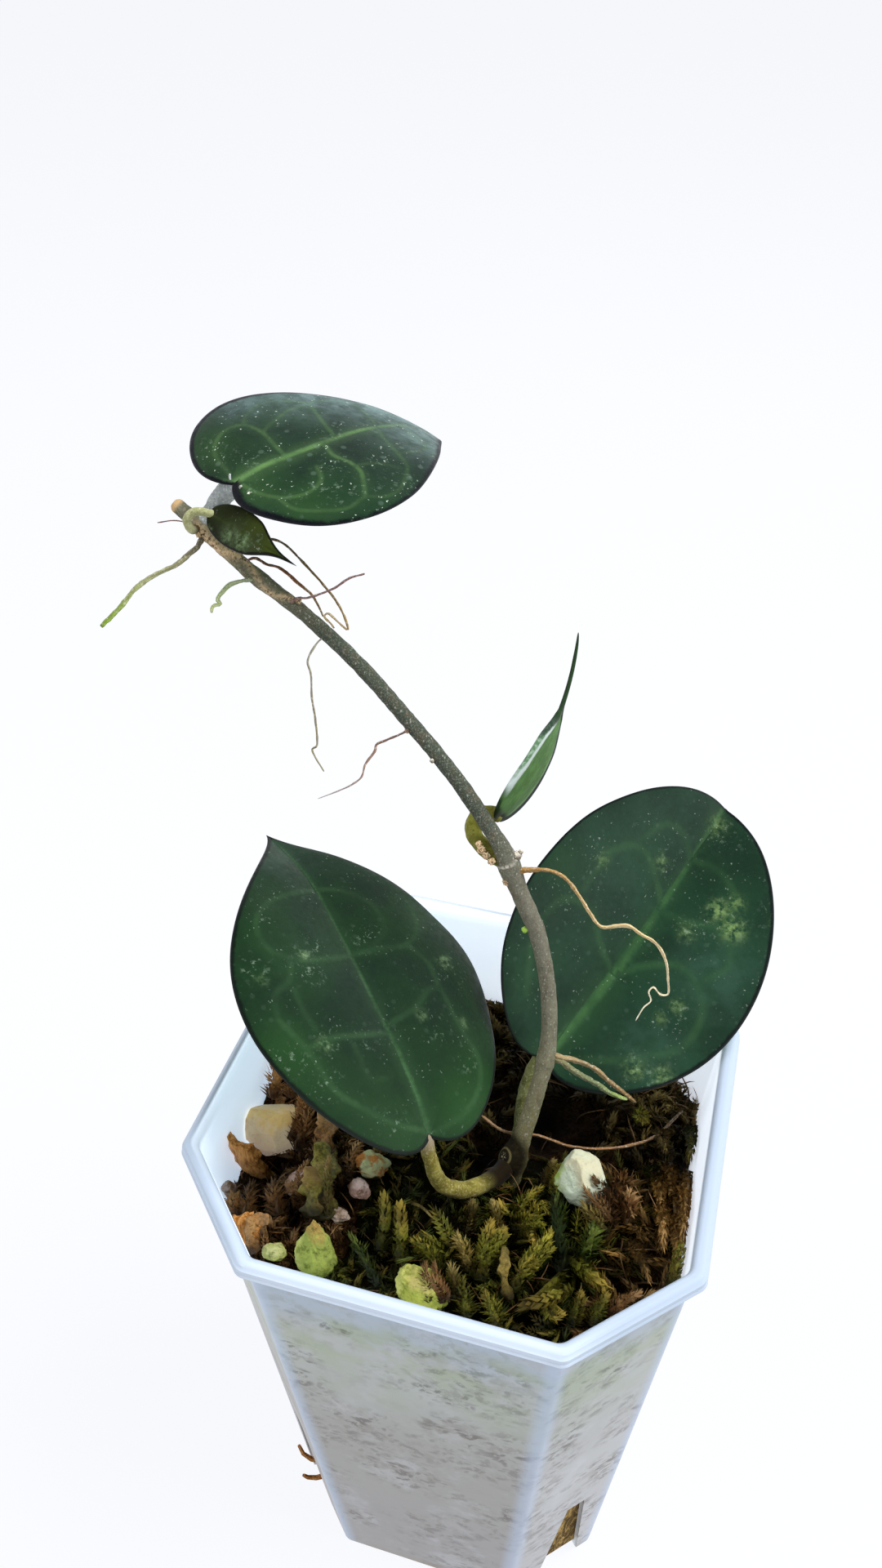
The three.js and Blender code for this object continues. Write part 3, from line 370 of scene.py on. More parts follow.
# Aerial roots: points from the middle of the vine to the free tip, radii evenly spaced along, and the colours
ROOTS = {
    "aerial_root_1": (
        [
            (-50, 20.5, 218), (-50, 18, 217), (-51.2, 16.6, 216), (-52.5, 15, 215), (-54.2, 13.6, 214.4),
            (-55.4, 12.8, 213.9), (-57.5, 10.5, 212.5), (-59.5, 8, 210), (-61.5, 5.5, 208),
        ],
        (0.5, 0.4, 0.36, 0.38, 0.4, 0.38), "green_root",
    ),
    "aerial_root_2": (
        [
            (-41.6, 18.7, 212.2), (-42.7, 17.4, 212.5), (-44.4, 16.4, 212.1), (-45.1, 15, 211.5),
            (-45.7, 14.1, 210.5), (-45.2, 14, 209.9), (-46.3, 13.4, 209.6), (-46.3, 12.8, 208.8),
        ],
        (0.3, 0.32, 0.32, 0.28), "pale_green_root",
    ),
    "aerial_root_3": (
        [
            (-43.4, 22.5, 216.5), (-40.1, 24.2, 216.6), (-38, 23.9, 216.1), (-35.9, 23.2, 214.9),
            (-33.3, 22.3, 213.1), (-30.7, 21.4, 211.1), (-28.6, 20.5, 209.3), (-26.9, 19.3, 207.4),
            (-26.1, 18.2, 206), (-27.6, 18.5, 206.8), (-29.4, 18.4, 208.3), (-29.8, 18, 207.9),
            (-28.7, 17.8, 206.9), (-28.1, 17.6, 206.3),
        ],
        (0.22, 0.2, 0.2, 0.19, 0.17, 0.16), "brown_root",
    ),
    "aerial_root_4": (
        [
            (-42.9, 19.6, 214.8), (-41, 19.2, 215.7), (-39.2, 19.2, 214.9), (-37.7, 19.6, 214.5),
            (-35.7, 19.5, 213.4), (-34.3, 19.3, 212.3), (-32.1, 18.9, 211), (-30.6, 18.2, 209.2),
            (-29.9, 17.8, 208),
        ],
        (0.22, 0.2, 0.22, 0.25, 0.22, 0.2, 0.17), "rust_root",
    ),
    "aerial_root_5": (
        [
            (-35.6, 18.9, 209), (-34.2, 18.2, 210.3), (-31.7, 16.7, 211.6), (-30, 17.2, 212.2),
            (-28.2, 19.3, 212.5), (-26.6, 21.3, 213.3), (-24.6, 22.8, 213.6),
        ],
        (0.3, 0.2, 0.18, 0.18, 0.16), "purple_root",
    ),
    "aerial_root_6": (
        [
            (-30.1, 18.9, 204), (-31.1, 17.7, 203.2), (-31.8, 15.9, 201.9), (-32, 15.2, 200.9),
            (-31.2, 14.3, 199.3), (-30.5, 12.3, 196.8), (-29.4, 10.4, 194.2), (-28.5, 8.5, 191.6),
            (-28.3, 7.6, 190.6), (-28.9, 7.2, 190.2), (-28.4, 6.7, 189.4), (-26.6, 5.8, 187.3),
        ],
        (0.14, 0.18, 0.16, 0.16, 0.17, 0.16, 0.12), "olive_root",
    ),
    "aerial_root_7": (
        [
            (-15.7, 16.5, 190.5), (-16.1, 15.7, 190.4), (-16.9, 15, 190.1), (-18.9, 13.7, 189.4),
            (-20.3, 12.8, 188.8), (-20.3, 12.3, 188.1), (-21.4, 10.3, 186.4), (-21.6, 9, 184.9),
            (-22.9, 7.9, 183.9), (-24.8, 6.9, 183), (-27.8, 5.2, 182),
        ],
        (0.22, 0.2, 0.22, 0.16, 0.12, 0.06), "pink_root",
    ),
    "aerial_root_8": (
        [
            (3.5, 12.3, 168.2), (5.6, 12.6, 168.7), (8.8, 13.1, 169), (11.5, 13.1, 168.1),
            (13.9, 12.7, 165.6), (16.4, 11.6, 162.8), (18.5, 10.9, 160.9), (21.1, 11.6, 161),
            (22.8, 12, 161.2), (25.3, 12, 159.8), (27.8, 12.3, 158.1), (29.8, 11.4, 155.4),
            (30.7, 9.9, 152.5), (31, 8.7, 150.6), (29.9, 8.4, 150.5), (28.5, 8.7, 151.6),
            (27.9, 8.1, 150.9), (28.5, 7.4, 149.7), (27.5, 6.4, 148.7), (26.6, 4.8, 146.9),
        ],
        (0.75, 0.33, 0.28, 0.32, 0.26, 0.34, 0.24, 0.28, 0.2, 0.17, 0.15, 0.11), "golden_root",
    ),
    "aerial_root_9": (
        [
            (12.1, 5, 133.3), (14.4, 5, 133.3), (17.6, 5.4, 132.7), (20.7, 6, 131), (24.1, 5.8, 128.2),
            (27.1, 5.7, 126), (28.6, 5.5, 125),
        ],
        (0.6, 0.48, 0.42, 0.4, 0.32), "tan_root",
    ),
    "aerial_root_10": (
        [
            (12, 4.7, 132.7), (14.8, 4.5, 132.7), (17.6, 3.7, 131.8), (21.2, 4, 129.7), (24.4, 4.5, 127.1),
            (27, 5.3, 125.6),
        ],
        (0.65, 0.52, 0.5, 0.45, 0.35), "whitish_root",
    ),
    "aerial_root_11": (
        [(-52, 20.3, 219.1), (-52.7, 20.1, 219.7), (-54.2, 19.3, 220.2), (-56.5, 18.3, 220)],
        (0.12, 0.1, 0.1), "purple_root",
    ),
}
CREEPING_ROOT = [(1, 3.5), (6, 0.5), (12, 1.5), (18.5, 1), (25, 3), (32, 8), (37, 18)]
CREEPING_ROOT_RADIUS = 0.28
CREEPING_ROOT_HEIGHT = 1.2
ROOT_SIDES = 10
ROOT_RINGS_PER_MM = 3

# Root colours at the vine, half-way and at the tip
ROOT_COLOURS = {
    "green_root": ("6d6552", "a6a877", "84a234"), "pale_green_root": ("9aa383", "b0c08a", "c3cf8e"),
    "brown_root": ("5f4526", "8a6f3c", "b39c6c"), "rust_root": ("5f3a24", "7d4f2a", "7a6a3c"),
    "purple_root": ("7d5d52", "8f6f6c", "8a5f5c"), "olive_root": ("a8a48e", "7d7458", "8d8764"),
    "pink_root": ("7a5c50", "9a7c6a", "d9cfcd"), "golden_root": ("a27b44", "e0c68f", "f4ebcb"),
    "tan_root": ("a08c66", "957e54", "74582f"), "whitish_root": ("7a7450", "6b7450", "7d9644"),
    "creeping_root": ("b98e62", "8c643e", "3c2e18"),
}

# Lumps of pumice: middle, half-sizes and turn about Z in degrees
LUMPS = {
    "pumice_cream": ((-36.7, -8.4, 111.5), (6.5, 4.9, 4.7), 20),
    "pumice_white": ((21.8, -8, 117.2), (4.9, 4.1, 5.3), -30),
    "pumice_lime": ((-17.5, -34, 119), (3.2, 2.8, 6.8), 25),
    "pumice_yellow": ((1.5, -36.3, 119.8), (4.4, 3, 4.2), -10),
    "pumice_small": ((-24.2, -35.9, 118.2), (1.9, 1.5, 1.4), 0),
    "pumice_pink": ((-26, -20, 114.3), (2.7, 2.1, 2.5), 40),
    "pumice_grey": ((-15, -20, 117.1), (2.1, 1.7, 1.6), -20),
    "pumice_tan": ((-12.5, -8, 115.8), (3.6, 2.8, 2.8), 15),
}
LUMP_ROUGHNESS = 0.06
ROUGHER = 2.5
LUMP_FACETS = 11

# How much a lump narrows towards its top; the others narrow by a tenth
LUMP_TAPERS = {"pumice_lime": 0.4, "pumice_white": -0.22, "pumice_small": -0.1}
ROUGH_LUMPS = ("pumice_small", "pumice_yellow", "pumice_lime", "pumice_pink", "pumice_grey")

# How strongly a lump that lies against the wall glows with its own colour: painted light for daylight through
# the wall
LUMP_GLOW = {"pumice_cream": 0.2}

# Colours of each lump: its body, left side, top and foot
LUMP_COLOURS = {
    "pumice_cream": ("dcc9a6", "a8742a", "d9b878", "dccac4"),
    "pumice_white": ("c3ceb6", "8fa552", "c2bd9e", "aebb9c"),
    "pumice_lime": ("8c9748", "b4ba68", "a5844a", "66762a"),
    "pumice_yellow": ("9da348", "b5b768", "a89e60", "8fa038"),
    "pumice_small": ("9a9c58", "b0b07c", "a9aa74", "7c8440"),
    "pumice_pink": ("b39a90", "7a5a42", "d2c0b8", "6a4c3e"),
    "pumice_grey": ("95796c", "5f4534", "bda8a2", "4a3226"),
    "pumice_tan": ("8c8450", "8f9a5e", "a97a44", "5c4a26"),
}

# Small stone fragments in the brown moss: middle, radii, and their finish
CRUMBS = [
    ((-14.3, -14.8, 117.6), (2.9, 2.3, 2.2), "greenish"), ((-16.6, -26, 117.6), (1.9, 1.2, 1.0), "pinkish"),
    ((-39, -22.8, 111.2), (1.3, 1.2, 1.5), "pinkish"), ((-22.5, -20.5, 116.8), (1.2, 1.0, 1.0), "pinkish"),
]

# Flakes of bark: middle, width, thickness and height, turn about Z and lean about X in degrees
FLAKES = {
    "bark_flake_tall": ((-38, -17.6, 112), (6.4, 1.3, 14.5), -12, 14),
    "bark_flake_short": ((-31, -32.8, 116.8), (5, 1.4, 4.8), 30, -25),
}

# Shoots that stand out: kind, finish, lightness, how dry the tip is, radius, and places from root to tip.
# A place is x, y and, where that is known, how high above the moss it lies.
GREEN_SHOOTS = [
    ("leafy", "green", 0.9, 0.4, 1.5, [(14.9, -31.1), (16.5, -26.2), (18.5, -21.8), (19.2, -18.2)]),
    ("leafy", "green", 0.75, 0.2, 1.2, [(16.2, -29), (18.4, -25), (20.6, -22.4)]),
    ("scaly", "green", 0.6, 0.9, 1.55, [(22.8, -22.6), (25.6, -25), (28.2, -27.3), (30.2, -28.8)]),
    (
        "scaly", "green", 0.75, 1.0, 1.6,
        [(23, -25), (23.5, -28.5), (22.3, -31.3), (20.2, -33.3), (17.7, -34.7)],
    ),
    ("ribbon", "ochre", 0.9, 0.5, 1.0, [(15.4, -33), (13.7, -30.7), (13, -27.8), (12.6, -24.8)]),
    ("open", "ochre", 0.9, 0.2, 1.5, [(7.6, -29.6), (6.2, -27.6), (3.9, -25.2)]),
    ("leafy", "green", 0.55, 0.9, 1.7, [(9.7, -31.3), (9.2, -26.8), (9, -23), (8.9, -19.5)]),
    ("leafy", "green", 0.7, 0.6, 1.7, [(10.6, -28.5), (11, -24.5), (11.4, -20.5)]),
    ("leafy", "ochre", 0.4, 0.9, 1.1, [(10.8, -21.3), (9.3, -18.3), (7.6, -15.5)]),
    ("open", "green", 0.8, 0.1, 1.1, [(11.8, -16), (13.5, -13.1), (15.6, -10.5)]),
    ("open", "green", 0.7, 0.2, 1.1, [(14.3, -16.7), (16, -13.8), (17.9, -15.6)]),
    ("leafy", "green", 0.75, 0.1, 1.5, [(12.5, -18.5), (15.5, -17.5), (18, -18.5)]),
    ("leafy", "fine", 0.0, 0.0, 1.4, [(22.6, -26.2), (20, -18.5), (17.5, -9)]),
    ("leafy", "green", 0.6, 0.2, 1.7, [(18.3, -12.5, 0), (17.9, -9, 3), (17.6, -6, 4.5)]),
    ("leafy", "ochre", 0.25, 0.6, 1.4, [(15.5, -8.5), (16.2, -6), (16.5, -4)]),
    ("star", "green", 0.7, 0.0, 1.7, [(24.7, -17.5), (24.4, -15.5)]),
    ("star", "green", 0.8, 0.0, 1.5, [(22.9, -17), (22.7, -14.8)]),
    ("open", "fine", 0.95, 0.1, 1.8, [(25.2, -22.5), (25.8, -18.7), (25.9, -15.6)]),
    ("star", "fine", 0.8, 0.0, 1.8, [(20, -16.5), (20.3, -14)]),
    ("scaly", "green", 0.6, 0.8, 1.5, [(-3.8, -31.4), (-5, -27), (-6.7, -22.6)]),
    ("scaly", "green", 0.3, 0.4, 1.3, [(-7.7, -30.3), (-8.4, -25.1), (-10, -21.6)]),
    ("leafy", "fine", 0.5, 0.2, 1.1, [(-5.5, -37.2), (-9.3, -33.7), (-13.2, -30)]),
    ("leafy", "green", 0.4, 0.1, 1.6, [(3.2, -31.1), (0.2, -29.6), (-2.8, -28.5)]),
    ("feather", "green", 0.4, 0.1, 1.6, [(4.5, -26.5), (1.5, -24), (-1, -21.5)]),
    ("leafy", "ochre", 0.3, 0.4, 1.3, [(5.6, -22.5), (5.2, -19.5), (4.6, -16.8)]),
    ("strand", "ochre", 0.8, 0.2, 0.35, [(-5.8, -19.9), (-2.8, -21.8), (-0.2, -23.6)]),
    ("strand", "ochre", 0.6, 0.2, 0.3, [(-5.6, -22.5), (-2.8, -24.1)]),
    ("open", "green", 0.6, 0.1, 1.5, [(14.3, -37.6), (12.8, -36), (11.2, -34.6)]),
    ("open", "green", 0.5, 0.1, 1.6, [(9.5, -38), (8.4, -35.9), (7.2, -33.6)]),
    ("open", "brown", 0.1, 0.2, 1.0, [(5.5, -38, 1), (4.2, -36, 3.6), (2.6, -33.5, 4.4)]),
    ("open", "brown", 0.0, 0.2, 1.0, [(3.5, -38.5, 1), (2.4, -36.5, 4), (1.4, -34, 4.6)]),
    ("feather", "brown", 0.2, 0.2, 1.4, [(6.5, -37.5, 1), (4.6, -37.2, 4), (3, -36.6, 5)]),
    ("open", "ochre", 0.2, 0.6, 1.3, [(7.5, -36.5, 0.5), (6.4, -34.5, 2.5), (5, -32, 3.4)]),
    ("scaly", "green", 0.4, 0.8, 1.1, [(12, -14), (10.5, -17), (9, -16)]),
    ("scaly", "green", 0.4, 0.9, 1.1, [(13.2, -21.5), (15.5, -20.2), (16.6, -22.4)]),
    ("leafy", "green", 0.35, 0.9, 1.3, [(20.5, -31), (22.8, -35), (24.6, -34)]),
    ("leafy", "green", 0.3, 0.9, 1.4, [(25.4, -34.2), (26.2, -31.4), (26, -29.5)]),
    ("strand", "ochre", 1.0, 0.0, 0.18, [(26.5, -32.6), (26.1, -30.4), (25.8, -28.2)]),
    (
        "open", "brown", 0.4, 0.5, 1.6,
        [(28.6, -14, 0.5), (27, -13.6, 3.6), (24.6, -12.8, 5.4), (22.6, -11.6, 6.6)],
    ),
    (
        "leafy", "brown", 0.55, 0.5, 1.5,
        [(29.5, -10.5, 0.5), (27.8, -11.2, 4.2), (25.6, -10.6, 6.6), (23.6, -9.6, 8.2)],
    ),
    (
        "open", "ochre", 0.6, 0.6, 1.6,
        [(28, -16.5, 0.5), (26, -15.6, 3), (24.2, -14.6, 4), (22.8, -13.4, 4.6)],
    ),
]
RIGHT_SHOOTS = [
    ("leafy", "olive", 0.6, 1.0, 1.4, [(35.9, -4.3, 1), (36.6, -11.7, 3), (37.5, -19.5, 2.6)]),
    ("leafy", "olive", 0.3, 0.6, 1.2, [(32.5, -16.8), (34.3, -21.6), (36.3, -25.9)]),
    ("leafy", "olive", 0.9, 0.4, 1.4, [(39.1, 0.5, 1), (40.2, -10.2, 4), (40.6, -18.5, 3.4)]),
    ("leafy", "olive", 1.0, 0.3, 1.4, [(40.9, 2, 2), (41.3, -5.8, 5), (41.4, -13, 5)]),
    ("leafy", "olive", 0.8, 0.4, 1.3, [(34.4, 1, 1), (35.4, -5, 3.6), (36.2, -11, 3.6)]),
    ("leafy", "olive", 0.8, 0.5, 1.4, [(37.4, 2.3), (38.1, -6.1), (39.2, -15.7)]),
    ("leafy", "olive", 0.7, 0.3, 1.7, [(38, -8), (39.5, -14), (40.2, -21)]),
    ("leafy", "olive", 0.9, 0.2, 1.5, [(36.2, 4), (36.8, -1), (37.4, -6)]),
    ("leafy", "green", 0.5, 0.2, 1.3, [(40.2, -24.8), (41.1, -20.3), (41.3, -16.5)]),
    ("leafy", "brown", 0.6, 0.6, 1.2, [(30.5, -31), (33, -29.5), (35.6, -27.6)]),
    ("leafy", "green", 0.3, 0.6, 1.3, [(28.6, -33.2), (29.6, -31), (30.4, -28.8)]),
    ("open", "brown", 0.6, 0.7, 1.9, [(30.5, -13.5, 0), (30.6, -10.5, 2.2), (30.4, -7, 3)]),
    ("leafy", "brown", 0.8, 0.5, 1.7, [(28, -4.9, 1), (30, -8.4, 2), (31.6, -12.4, 2.4)]),
    ("open", "brown", 0.5, 0.6, 1.6, [(28, -2.5), (29.5, -5), (30.6, -8)]),
    ("leafy", "green", 0.2, 0.3, 1.3, [(33, 3), (34.5, -1.5), (35.2, -5)]),
    ("open", "green", 0.75, 0.3, 1.2, [(29, 14, 0), (29.8, 12.5, 2), (31, 11, 2.6)]),
    ("leafy", "shaded", 0.9, 0.5, 1.4, [(33, 11), (34.4, 8.4), (35.4, 5)]),
    ("leafy", "green", 0.4, 0.5, 1.3, [(41, 15), (41, 9), (40.6, 4)]),
]
LEFT_SHOOTS = [
    (
        "ribbon", "stalks", 0.9, 0.0, 2.6,
        [(-18.6, -27.6, 0), (-20.3, -22.5, 3), (-22.3, -17.2, 3.4), (-23.2, -13.5, 3.6)],
    ),
    ("ribbon", "stalks", 0.5, 0.9, 2.2, [(-20.5, -28, 1), (-22, -24, 4), (-23, -20, 4.4)]),
    ("leafy", "stalks", 0.9, 0.6, 0.9, [(-18, -27, 1), (-19.8, -22, 4.4), (-21.4, -17, 5)]),
    ("leafy", "brown", 0.9, 0.8, 1.2, [(-24.5, -24, 1), (-25.5, -20.5, 4), (-25, -17.5, 4.4)]),
    ("ribbon", "brown", 1.0, 0.8, 2.0, [(-22.6, -16, 2.6), (-24.4, -11, 4), (-26.4, -6.5, 4.2)]),
    (
        "ribbon", "brown", 1.0, 0.3, 1.2,
        [(-27, -38.4, 1), (-28.6, -35.6, 3), (-28.4, -32.6, 3.8), (-26.2, -32.4, 3.6)],
    ),
    ("open", "brown", 1.0, 0.9, 1.7, [(-38, -4, 1), (-39, 0, 3.6), (-39.6, 4, 4.6)]),
    ("open", "brown", 1.0, 0.9, 1.6, [(-34.5, -3, 1), (-36, 1, 4), (-36.8, 5, 5)]),
    ("leafy", "brown", 0.95, 0.9, 1.7, [(-31, -8, 2), (-31, -4, 5), (-32.6, 0, 6)]),
    ("leafy", "brown", 0.75, 0.8, 1.7, [(-33.5, -6), (-31, 0), (-32, 5)]),
    ("leafy", "brown", 0.85, 0.8, 1.6, [(-28.5, -3), (-26, 2), (-26.5, 6)]),
    ("leafy", "brown", 0.6, 0.4, 1.8, [(-31.5, -11, 1), (-30.6, -7.5, 3.4), (-31.5, -4, 4.4)]),
    ("open", "brown", 0.5, 0.5, 1.8, [(-29.4, -13, 1), (-29, -9, 3.4), (-30.5, -5.5, 4.2)]),
    ("leafy", "brown", 0.7, 0.4, 1.7, [(-26, -14), (-25.4, -9), (-24.2, -5)]),
    ("open", "brown", 0.5, 0.3, 1.7, [(-33, -29), (-34.5, -25), (-35, -21)]),
    ("open", "brown", 0.7, 0.2, 1.6, [(-36, -31), (-37, -27.5), (-37.6, -24)]),
    ("open", "brown", 0.5, 0.3, 1.7, [(-27, -27.5), (-29.4, -24.5), (-31, -20.5)]),
    ("leafy", "brown", 0.65, 0.3, 1.6, [(-23, -24.5), (-25, -23.2), (-28, -21.5)]),
    ("open", "brown", 0.8, 0.6, 1.3, [(-17.8, -17.5), (-18, -14.5), (-17.4, -12)]),
]


# Small helpers

CURVE_PARTS = 12


def linear(colour):
    """A six-digit web colour as the linear red, green, blue and alpha that shaders take."""
    shares = [int(colour[i:i + 2], 16) / 255 for i in (0, 2, 4)]
    return [s / 12.92 if s <= 0.04045 else ((s + 0.055) / 1.055) ** 2.4 for s in shares] + [1.0]


def mix(a, b, share):
    return a + (b - a) * share


def smooth_curve(points, steps):
    """Points a like distance apart on the centripetal Catmull-Rom curve through the given ones."""
    known = [Vector(p) for p in points]
    known = [known[0] * 2 - known[1]] + known + [known[-1] * 2 - known[-2]]
    fine = []
    for before, start, end, after in zip(known, known[1:], known[2:], known[3:]):
        t1 = (start - before).length ** 0.5
        t2 = t1 + (end - start).length ** 0.5
        t3 = t2 + (after - end).length ** 0.5
        for step in range(CURVE_PARTS):
            t = mix(t1, t2, step / CURVE_PARTS)
            a = before.lerp(start, t / t1)
            b = start.lerp(end, (t - t1) / (t2 - t1))
            c = end.lerp(after, (t - t2) / (t3 - t2))
            fine.append(a.lerp(b, t / t2).lerp(b.lerp(c, (t - t1) / (t3 - t1)), (t - t1) / (t2 - t1)))
    fine.append(known[-2])
    reach = [0.0]
    for a, b in zip(fine, fine[1:]):
        reach.append(reach[-1] + (b - a).length)
    even = []
    place = 0
    for step in range(steps + 1):
        wanted = reach[-1] * step / steps
        while place < len(fine) - 2 and reach[place + 1] < wanted:
            place += 1
        share = (wanted - reach[place]) / max(reach[place + 1] - reach[place], 1e-9)
        even.append(fine[place].lerp(fine[place + 1], share))
    return even


def curve_frames(path):
    """At each point of a path, two directions square to it that turn as little as they can."""
    frames = []
    side = None
    for i in range(len(path)):
        along = (path[min(i + 1, len(path) - 1)] - path[max(i - 1, 0)]).normalized()
        if side is None:
            side = along.orthogonal()
        side = (side - along * side.dot(along)).normalized()
        frames.append((side, along.cross(side)))
    return frames


def wrapped_grid(bm, columns, rows, place):
    """A grid whose left and right edges meet, bent by place(turn, share, vert), with a pole at each end."""
    made = bmesh.ops.create_grid(bm, x_segments=columns, y_segments=rows, size=1)["verts"]
    for vert in made:
        turn = (vert.co.x + 1) / 2 % 1.0 if vert.co.x < 0.9999 else 0.0
        vert.co = place(turn, (vert.co.y + 1) / 2, vert)
    bmesh.ops.remove_doubles(bm, verts=made, dist=0.0004)
    return [vert for vert in made if vert.is_valid]


def layer(bm, name):
    """A value at each vertex, under a name that a finish reads."""
    return bm.verts.layers.float.get(name) or bm.verts.layers.float.new(name)


def new_mesh(bm, name, scale=1.0):
    """The shape as a mesh, scaled."""
    mesh = bpy.data.meshes.new(name)
    bm.to_mesh(mesh)
    bm.free()
    mesh.transform(Matrix.Scale(scale, 4))
    return mesh


def new_object(name, data):
    """A new object in the scene, of a mesh, a light or a camera."""
    made = bpy.data.objects.new(name, data)
    bpy.context.scene.collection.objects.link(made)
    return made


def tube(bm, points, skin, sides, steps):
    """A closed tube along a smooth curve, with a pole at each end and the radius skin(middle, out, share)."""
    path = smooth_curve(points, steps)
    frames = curve_frames(path)
    along = layer(bm, "along")
    round_it = layer(bm, "turn")

    def place(turn, share, vert):
        row = round(share * (steps + 2))
        step = min(max(row - 1, 0), steps)
        vert[along] = step / steps
        vert[round_it] = turn
        if row in (0, steps + 2):
            return path[step].copy()
        side, other = frames[step]
        out = side * math.cos(2 * math.pi * turn) + other * math.sin(2 * math.pi * turn)
        blunt = 0.6 if row in (1, steps + 1) else 0.9 if row in (2, steps) else 1.0
        return path[step] + out * (skin(path[step], out, step / steps) * blunt)

    return wrapped_grid(bm, sides, steps + 2, place)


def between(values, share):
    """The value at a share of the way along a list of evenly spaced ones."""
    place = min(max(share, 0), 1) * (len(values) - 1)
    index = min(int(place), len(values) - 2)
    return mix(values[index], values[index + 1], place - index)


def finished(bm, name, finishes, node, smooth=True):
    """The shape in metres as a piece that rides on the part and stands for a CAD node. Its
    faces stay as they are if smooth is None."""
    bmesh.ops.recalc_face_normals(bm, faces=bm.faces[:])
    mesh = new_mesh(bm, name, MM)
    for finish in finishes:
        mesh.materials.append(finish)
    if smooth is not None:
        mesh.polygons.foreach_set("use_smooth", [smooth] * len(mesh.polygons))
    piece = new_object(name, mesh)
    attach(piece, "root")
    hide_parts(node)
    return piece


# Materials


class Finish:
    """A procedural material: one Principled shader, and short calls that add the nodes in front of it."""

    def __init__(self, name, **fixed):
        self.material = bpy.data.materials.new(name)
        self.material.use_nodes = True
        self.tree = self.material.node_tree
        self.shader = self.tree.nodes["Principled BSDF"]
        self.feed_shader(**fixed)
        place = self.node("TexCoord").outputs["Object"]
        self.place = self.add("VectorMath", operation="SCALE", Vector=place, Scale=1 / MM)

    def node(self, kind, **settings):
        """A new node with its settings."""
        node = self.tree.nodes.new("ShaderNode" + kind)
        for setting, value in settings.items():
            setattr(node, setting, value)
        return node

    def feed(self, socket, value):
        """Links a node's output to the socket, or sets it to a web colour, a number or a vector."""
        if isinstance(value, bpy.types.NodeSocket):
            self.tree.links.new(value, socket)
        elif isinstance(value, str):
            socket.default_value = linear(value)
        else:
            socket.default_value = value

    def feed_shader(self, **values):
        for socket, value in values.items():
            self.feed(self.shader.inputs[socket.replace("_", " ")], value)

    def fed(self, node, *values):
        """The output of a node whose inputs take the values in their order."""
        for socket, value in zip(node.inputs, values):
            self.feed(socket, value)
        return node.outputs[0]

    def add(self, kind, output=0, operation=None, **values):
        """One output of a new node whose inputs take the values by their names."""
        node = self.node(kind, operation=operation) if operation else self.node(kind)
        for socket, value in values.items():
            self.feed(node.inputs[socket.replace("_", " ")], value)
        return node.outputs[output]

    def together(self, operation, a, b):
        """Two vectors added, multiplied or the like."""
        return self.fed(self.node("VectorMath", operation=operation), a, b)

    def math(self, operation, a, b=0.0):
        return self.fed(self.node("Math", operation=operation), a, b)

    def times(self, a, b):
        return self.math("MULTIPLY", a, b)

    def plus(self, a, b):
        return self.math("ADD", a, b)

    def minus(self, a, b):
        return self.math("SUBTRACT", a, b)

    def larger(self, a, b):
        return self.math("MAXIMUM", a, b)

    def noise(self, scale, detail=3.0, roughness=0.5, distortion=0.0, where=None):
        return self.add("TexNoise", Vector=where or self.place, Scale=scale, Detail=detail,
                        Roughness=roughness, Distortion=distortion)

    def uneven(self, amount, *grain):
        """Noise to both sides of zero, with this much from its least to its most."""
        return self.times(self.minus(self.noise(*grain), 0.5), amount)

    def cells(self, scale, where=None, output="Distance"):
        return self.add("TexVoronoi", output, Vector=where or self.place, Scale=scale)

    def stretched(self, turn, scale, where=None):
        """The place turned by degrees about each axis, then scaled along each axis."""
        turned = self.node("VectorRotate", rotation_type="EULER_XYZ")
        self.feed(turned.inputs["Vector"], where or self.place)
        self.feed(turned.inputs["Rotation"], [math.radians(t) for t in turn])
        return self.together("MULTIPLY", turned.outputs[0], scale)

    def split(self, vector):
        """The three parts of a vector."""
        node = self.node("SeparateXYZ")
        self.feed(node.inputs[0], vector)
        return node.outputs

    def range(self, value, low, high, to_low=0.0, to_high=1.0):
        """value, from low to high, turned smoothly into to_low to to_high."""
        return self.fed(self.node("MapRange", interpolation_type="SMOOTHSTEP"), value, low, high, to_low,
                        to_high)

    def attribute(self, name):
        return self.node("Attribute", attribute_name=name).outputs["Fac"]

    def mix(self, share, a, b):
        """A colour from a to b."""
        node = self.node("Mix", data_type="RGBA")
        self.feed(node.inputs["Factor"], share)
        self.feed(node.inputs[6], a)
        self.feed(node.inputs[7], b)
        return node.outputs[2]

    def tinted(self, value, amount, low, high, body, colour):
        """body with colour laid over it where value passes from low to high, as strong as amount."""
        return self.mix(self.times(self.range(value, low, high), amount), body, colour)

    def glow(self, colour, strength):
        self.feed_shader(Emission_Color=colour, Emission_Strength=strength)

    def surface(self, colour, roughness, height, depth, strength):
        """The material with its colour, its roughness, and bumps that are this deep in millimetres."""
        normal = self.add("Bump", Strength=strength, Distance=depth * MM, Height=height)
        self.feed_shader(Base_Color=colour, Roughness=roughness, Normal=normal)
        return self.material


